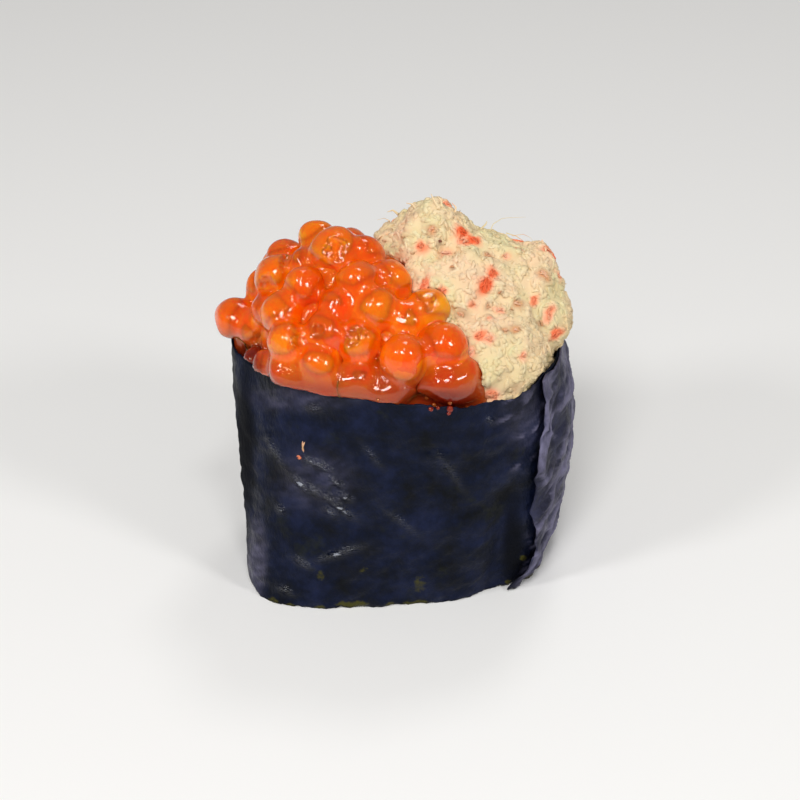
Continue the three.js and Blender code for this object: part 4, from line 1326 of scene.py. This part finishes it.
def make_hairs(core, material):
    """Single hairs and tufts that stand off the crab, each a thin tapering tube."""
    surface = surface_of(core)
    points = mesh_points(core)
    shapes = []
    for width, path in HAIRS:
        root, _ = under_pixel(surface, *path[0])
        if root is None:
            root = beside_pixel(points, *path[0])
        depth = (root - EYE) @ FORWARD
        stops = np.array([EYE + aim(px, py) * depth / (aim(px, py) @ FORWARD) for px, py in path])
        share = np.linspace(0, len(path) - 1, HAIR_RINGS)
        line = np.stack([np.interp(share, np.arange(len(path)), way) for way in stops.T], axis=-1)
        rings = []
        for n, middle in enumerate(line):
            along = line[min(n + 1, HAIR_RINGS - 1)] - line[max(n - 1, 0)]
            side = np.cross(along, FORWARD)
            side /= np.linalg.norm(side)
            cosine, sine = cos_sin(np.arange(HAIR_SIDES) * 360 / HAIR_SIDES)
            thick = width / 2 * (1 - 0.8 * n / (HAIR_RINGS - 1))
            rings.append(middle + thick * (np.outer(cosine, side) - np.outer(sine, FORWARD)))
        shapes.append(loft(rings))
    hairs = make_object("crab_hairs", *merged(shapes), material)
    store(hairs, "shade", np.full(len(hairs.data.vertices), 0.5))
    return hairs


def make_rice(material):
    """The pressed block, and the grains on its underside, which the board has flattened."""
    inset = SHEET + 0.35
    rings = [wall_point(ROUND, GRAIN["bed"] / NORI_WIDTH, inset + 1.2, GRAIN["bed"])]
    rings += [wall_point(ROUND, z / NORI_WIDTH, inset, z) for z in (4, 10, 18, RICE_TOP)]
    block = make_object("rice_block", *loft(rings), material)
    bed = wall_point(ROUND, 0, inset + GRAIN["width"] / 2, GRAIN["height"] / 2 - GRAIN["pressed"])
    floor = make_object("rice_bed", bed, [tuple(range(len(ROUND)))])
    sizes = {name.capitalize(): GRAIN[name] / 2 * MM for name in ("length", "width", "height")}
    sizes.update(Spacing=GRAIN["spacing"] * GRAIN["width"] * MM, Tilt=GRAIN["tilt"])
    grains = grow(floor, grain_tree(), "rice_grains", Material=material, **sizes)
    move_points(grains, keep_inside(mesh_points(grains), SHEET + 0.15))
    return block, grains


# ---- the studio ----
def make_studio():
    """A plain pale floor, soft light from all round, and a few lamps that glint on what is wet."""
    corners = 3000 * np.array([(-1, -1, 0), (1, -1, 0), (1, 1, 0), (-1, 1, 0)])
    make_object("floor", corners, [(0, 1, 2, 3)], finish("studio floor", studio_floor))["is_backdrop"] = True
    world = bpy.data.worlds.new("studio")
    world.use_nodes = True
    connect(world.node_tree, world.node_tree.nodes["Background"], {"Color": "#f3f2f0", "Strength": 0.23})
    bpy.context.scene.world = world
    middle = Vector((0, 0, 0.035))
    for name, azimuth, elevation, distance, size, watts in (
        ("key", -12, 46, 0.7, 0.22, 2.3),
        ("upper", 12, 64, 0.7, 0.12, 0.7),
        ("left", -56, 36, 0.7, 0.14, 1.1),
        ("right", 54, 34, 0.7, 0.14, 1.1),
        ("back", 160, 60, 0.8, 0.2, 0.8),
    ):
        lamp = bpy.data.lights.new(name, "AREA")
        lamp.shape = "DISK"
        lamp.size = size
        lamp.energy = watts
        (across, depth), (flat, rise) = cos_sin(azimuth - 90), cos_sin(elevation)
        away = Vector((across * flat, depth * flat, rise))
        holder = new_object(name, lamp)
        holder.location = middle + away * distance
        holder.rotation_euler = away.to_track_quat("Z", "Y").to_euler()


def make_camera():
    camera = bpy.data.cameras.new("camera")
    camera.sensor_width = SENSOR
    camera.lens = VIEW_FOCUS * SENSOR / IMAGE
    camera.clip_start = 0.01
    holder = new_object("camera", camera)
    holder.location = Vector((EYE - MIDDLE) * MM)
    holder.rotation_euler = (math.pi / 2 - VIEW_ELEVATION, 0, 0)
    bpy.context.scene.camera = holder


bpy.context.scene.view_settings.view_transform = "Standard"
make_camera()
make_studio()
eggs = lay_eggs()
strip = make_nori()
sheet = surface_of(strip)
roe = finish("salmon roe skin", roe_skin)
laid, film = make_roe(eggs, roe)
beads = make_beads([sheet, surface_of(film)], roe)
flesh = finish("crab flesh", crab_flesh)
core = make_crab_core(eggs, flesh)
flakes, spots = make_flakes(surface_of(core), sheet)
hairs = make_hairs(core, flesh)
shreds, fibres = make_shreds(core, flesh)
for piece in (core, shreds, fibres, hairs):
    blush_by(piece, spots)
made = {
    "nori": [strip],
    "salmon_roe": [laid, film, beads],
    "crab_meat": [core, shreds, fibres, hairs, flakes],
    "rice": make_rice(finish("cooked rice", cooked_rice)),
}
for name, pieces in made.items():
    for piece in pieces:
        settle(piece, name)

bpy.context.view_layer.update()
boxes = {"cad": cad_box, "visual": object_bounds()}
{name: [list(corner) for corner in box] for name, box in boxes.items()}
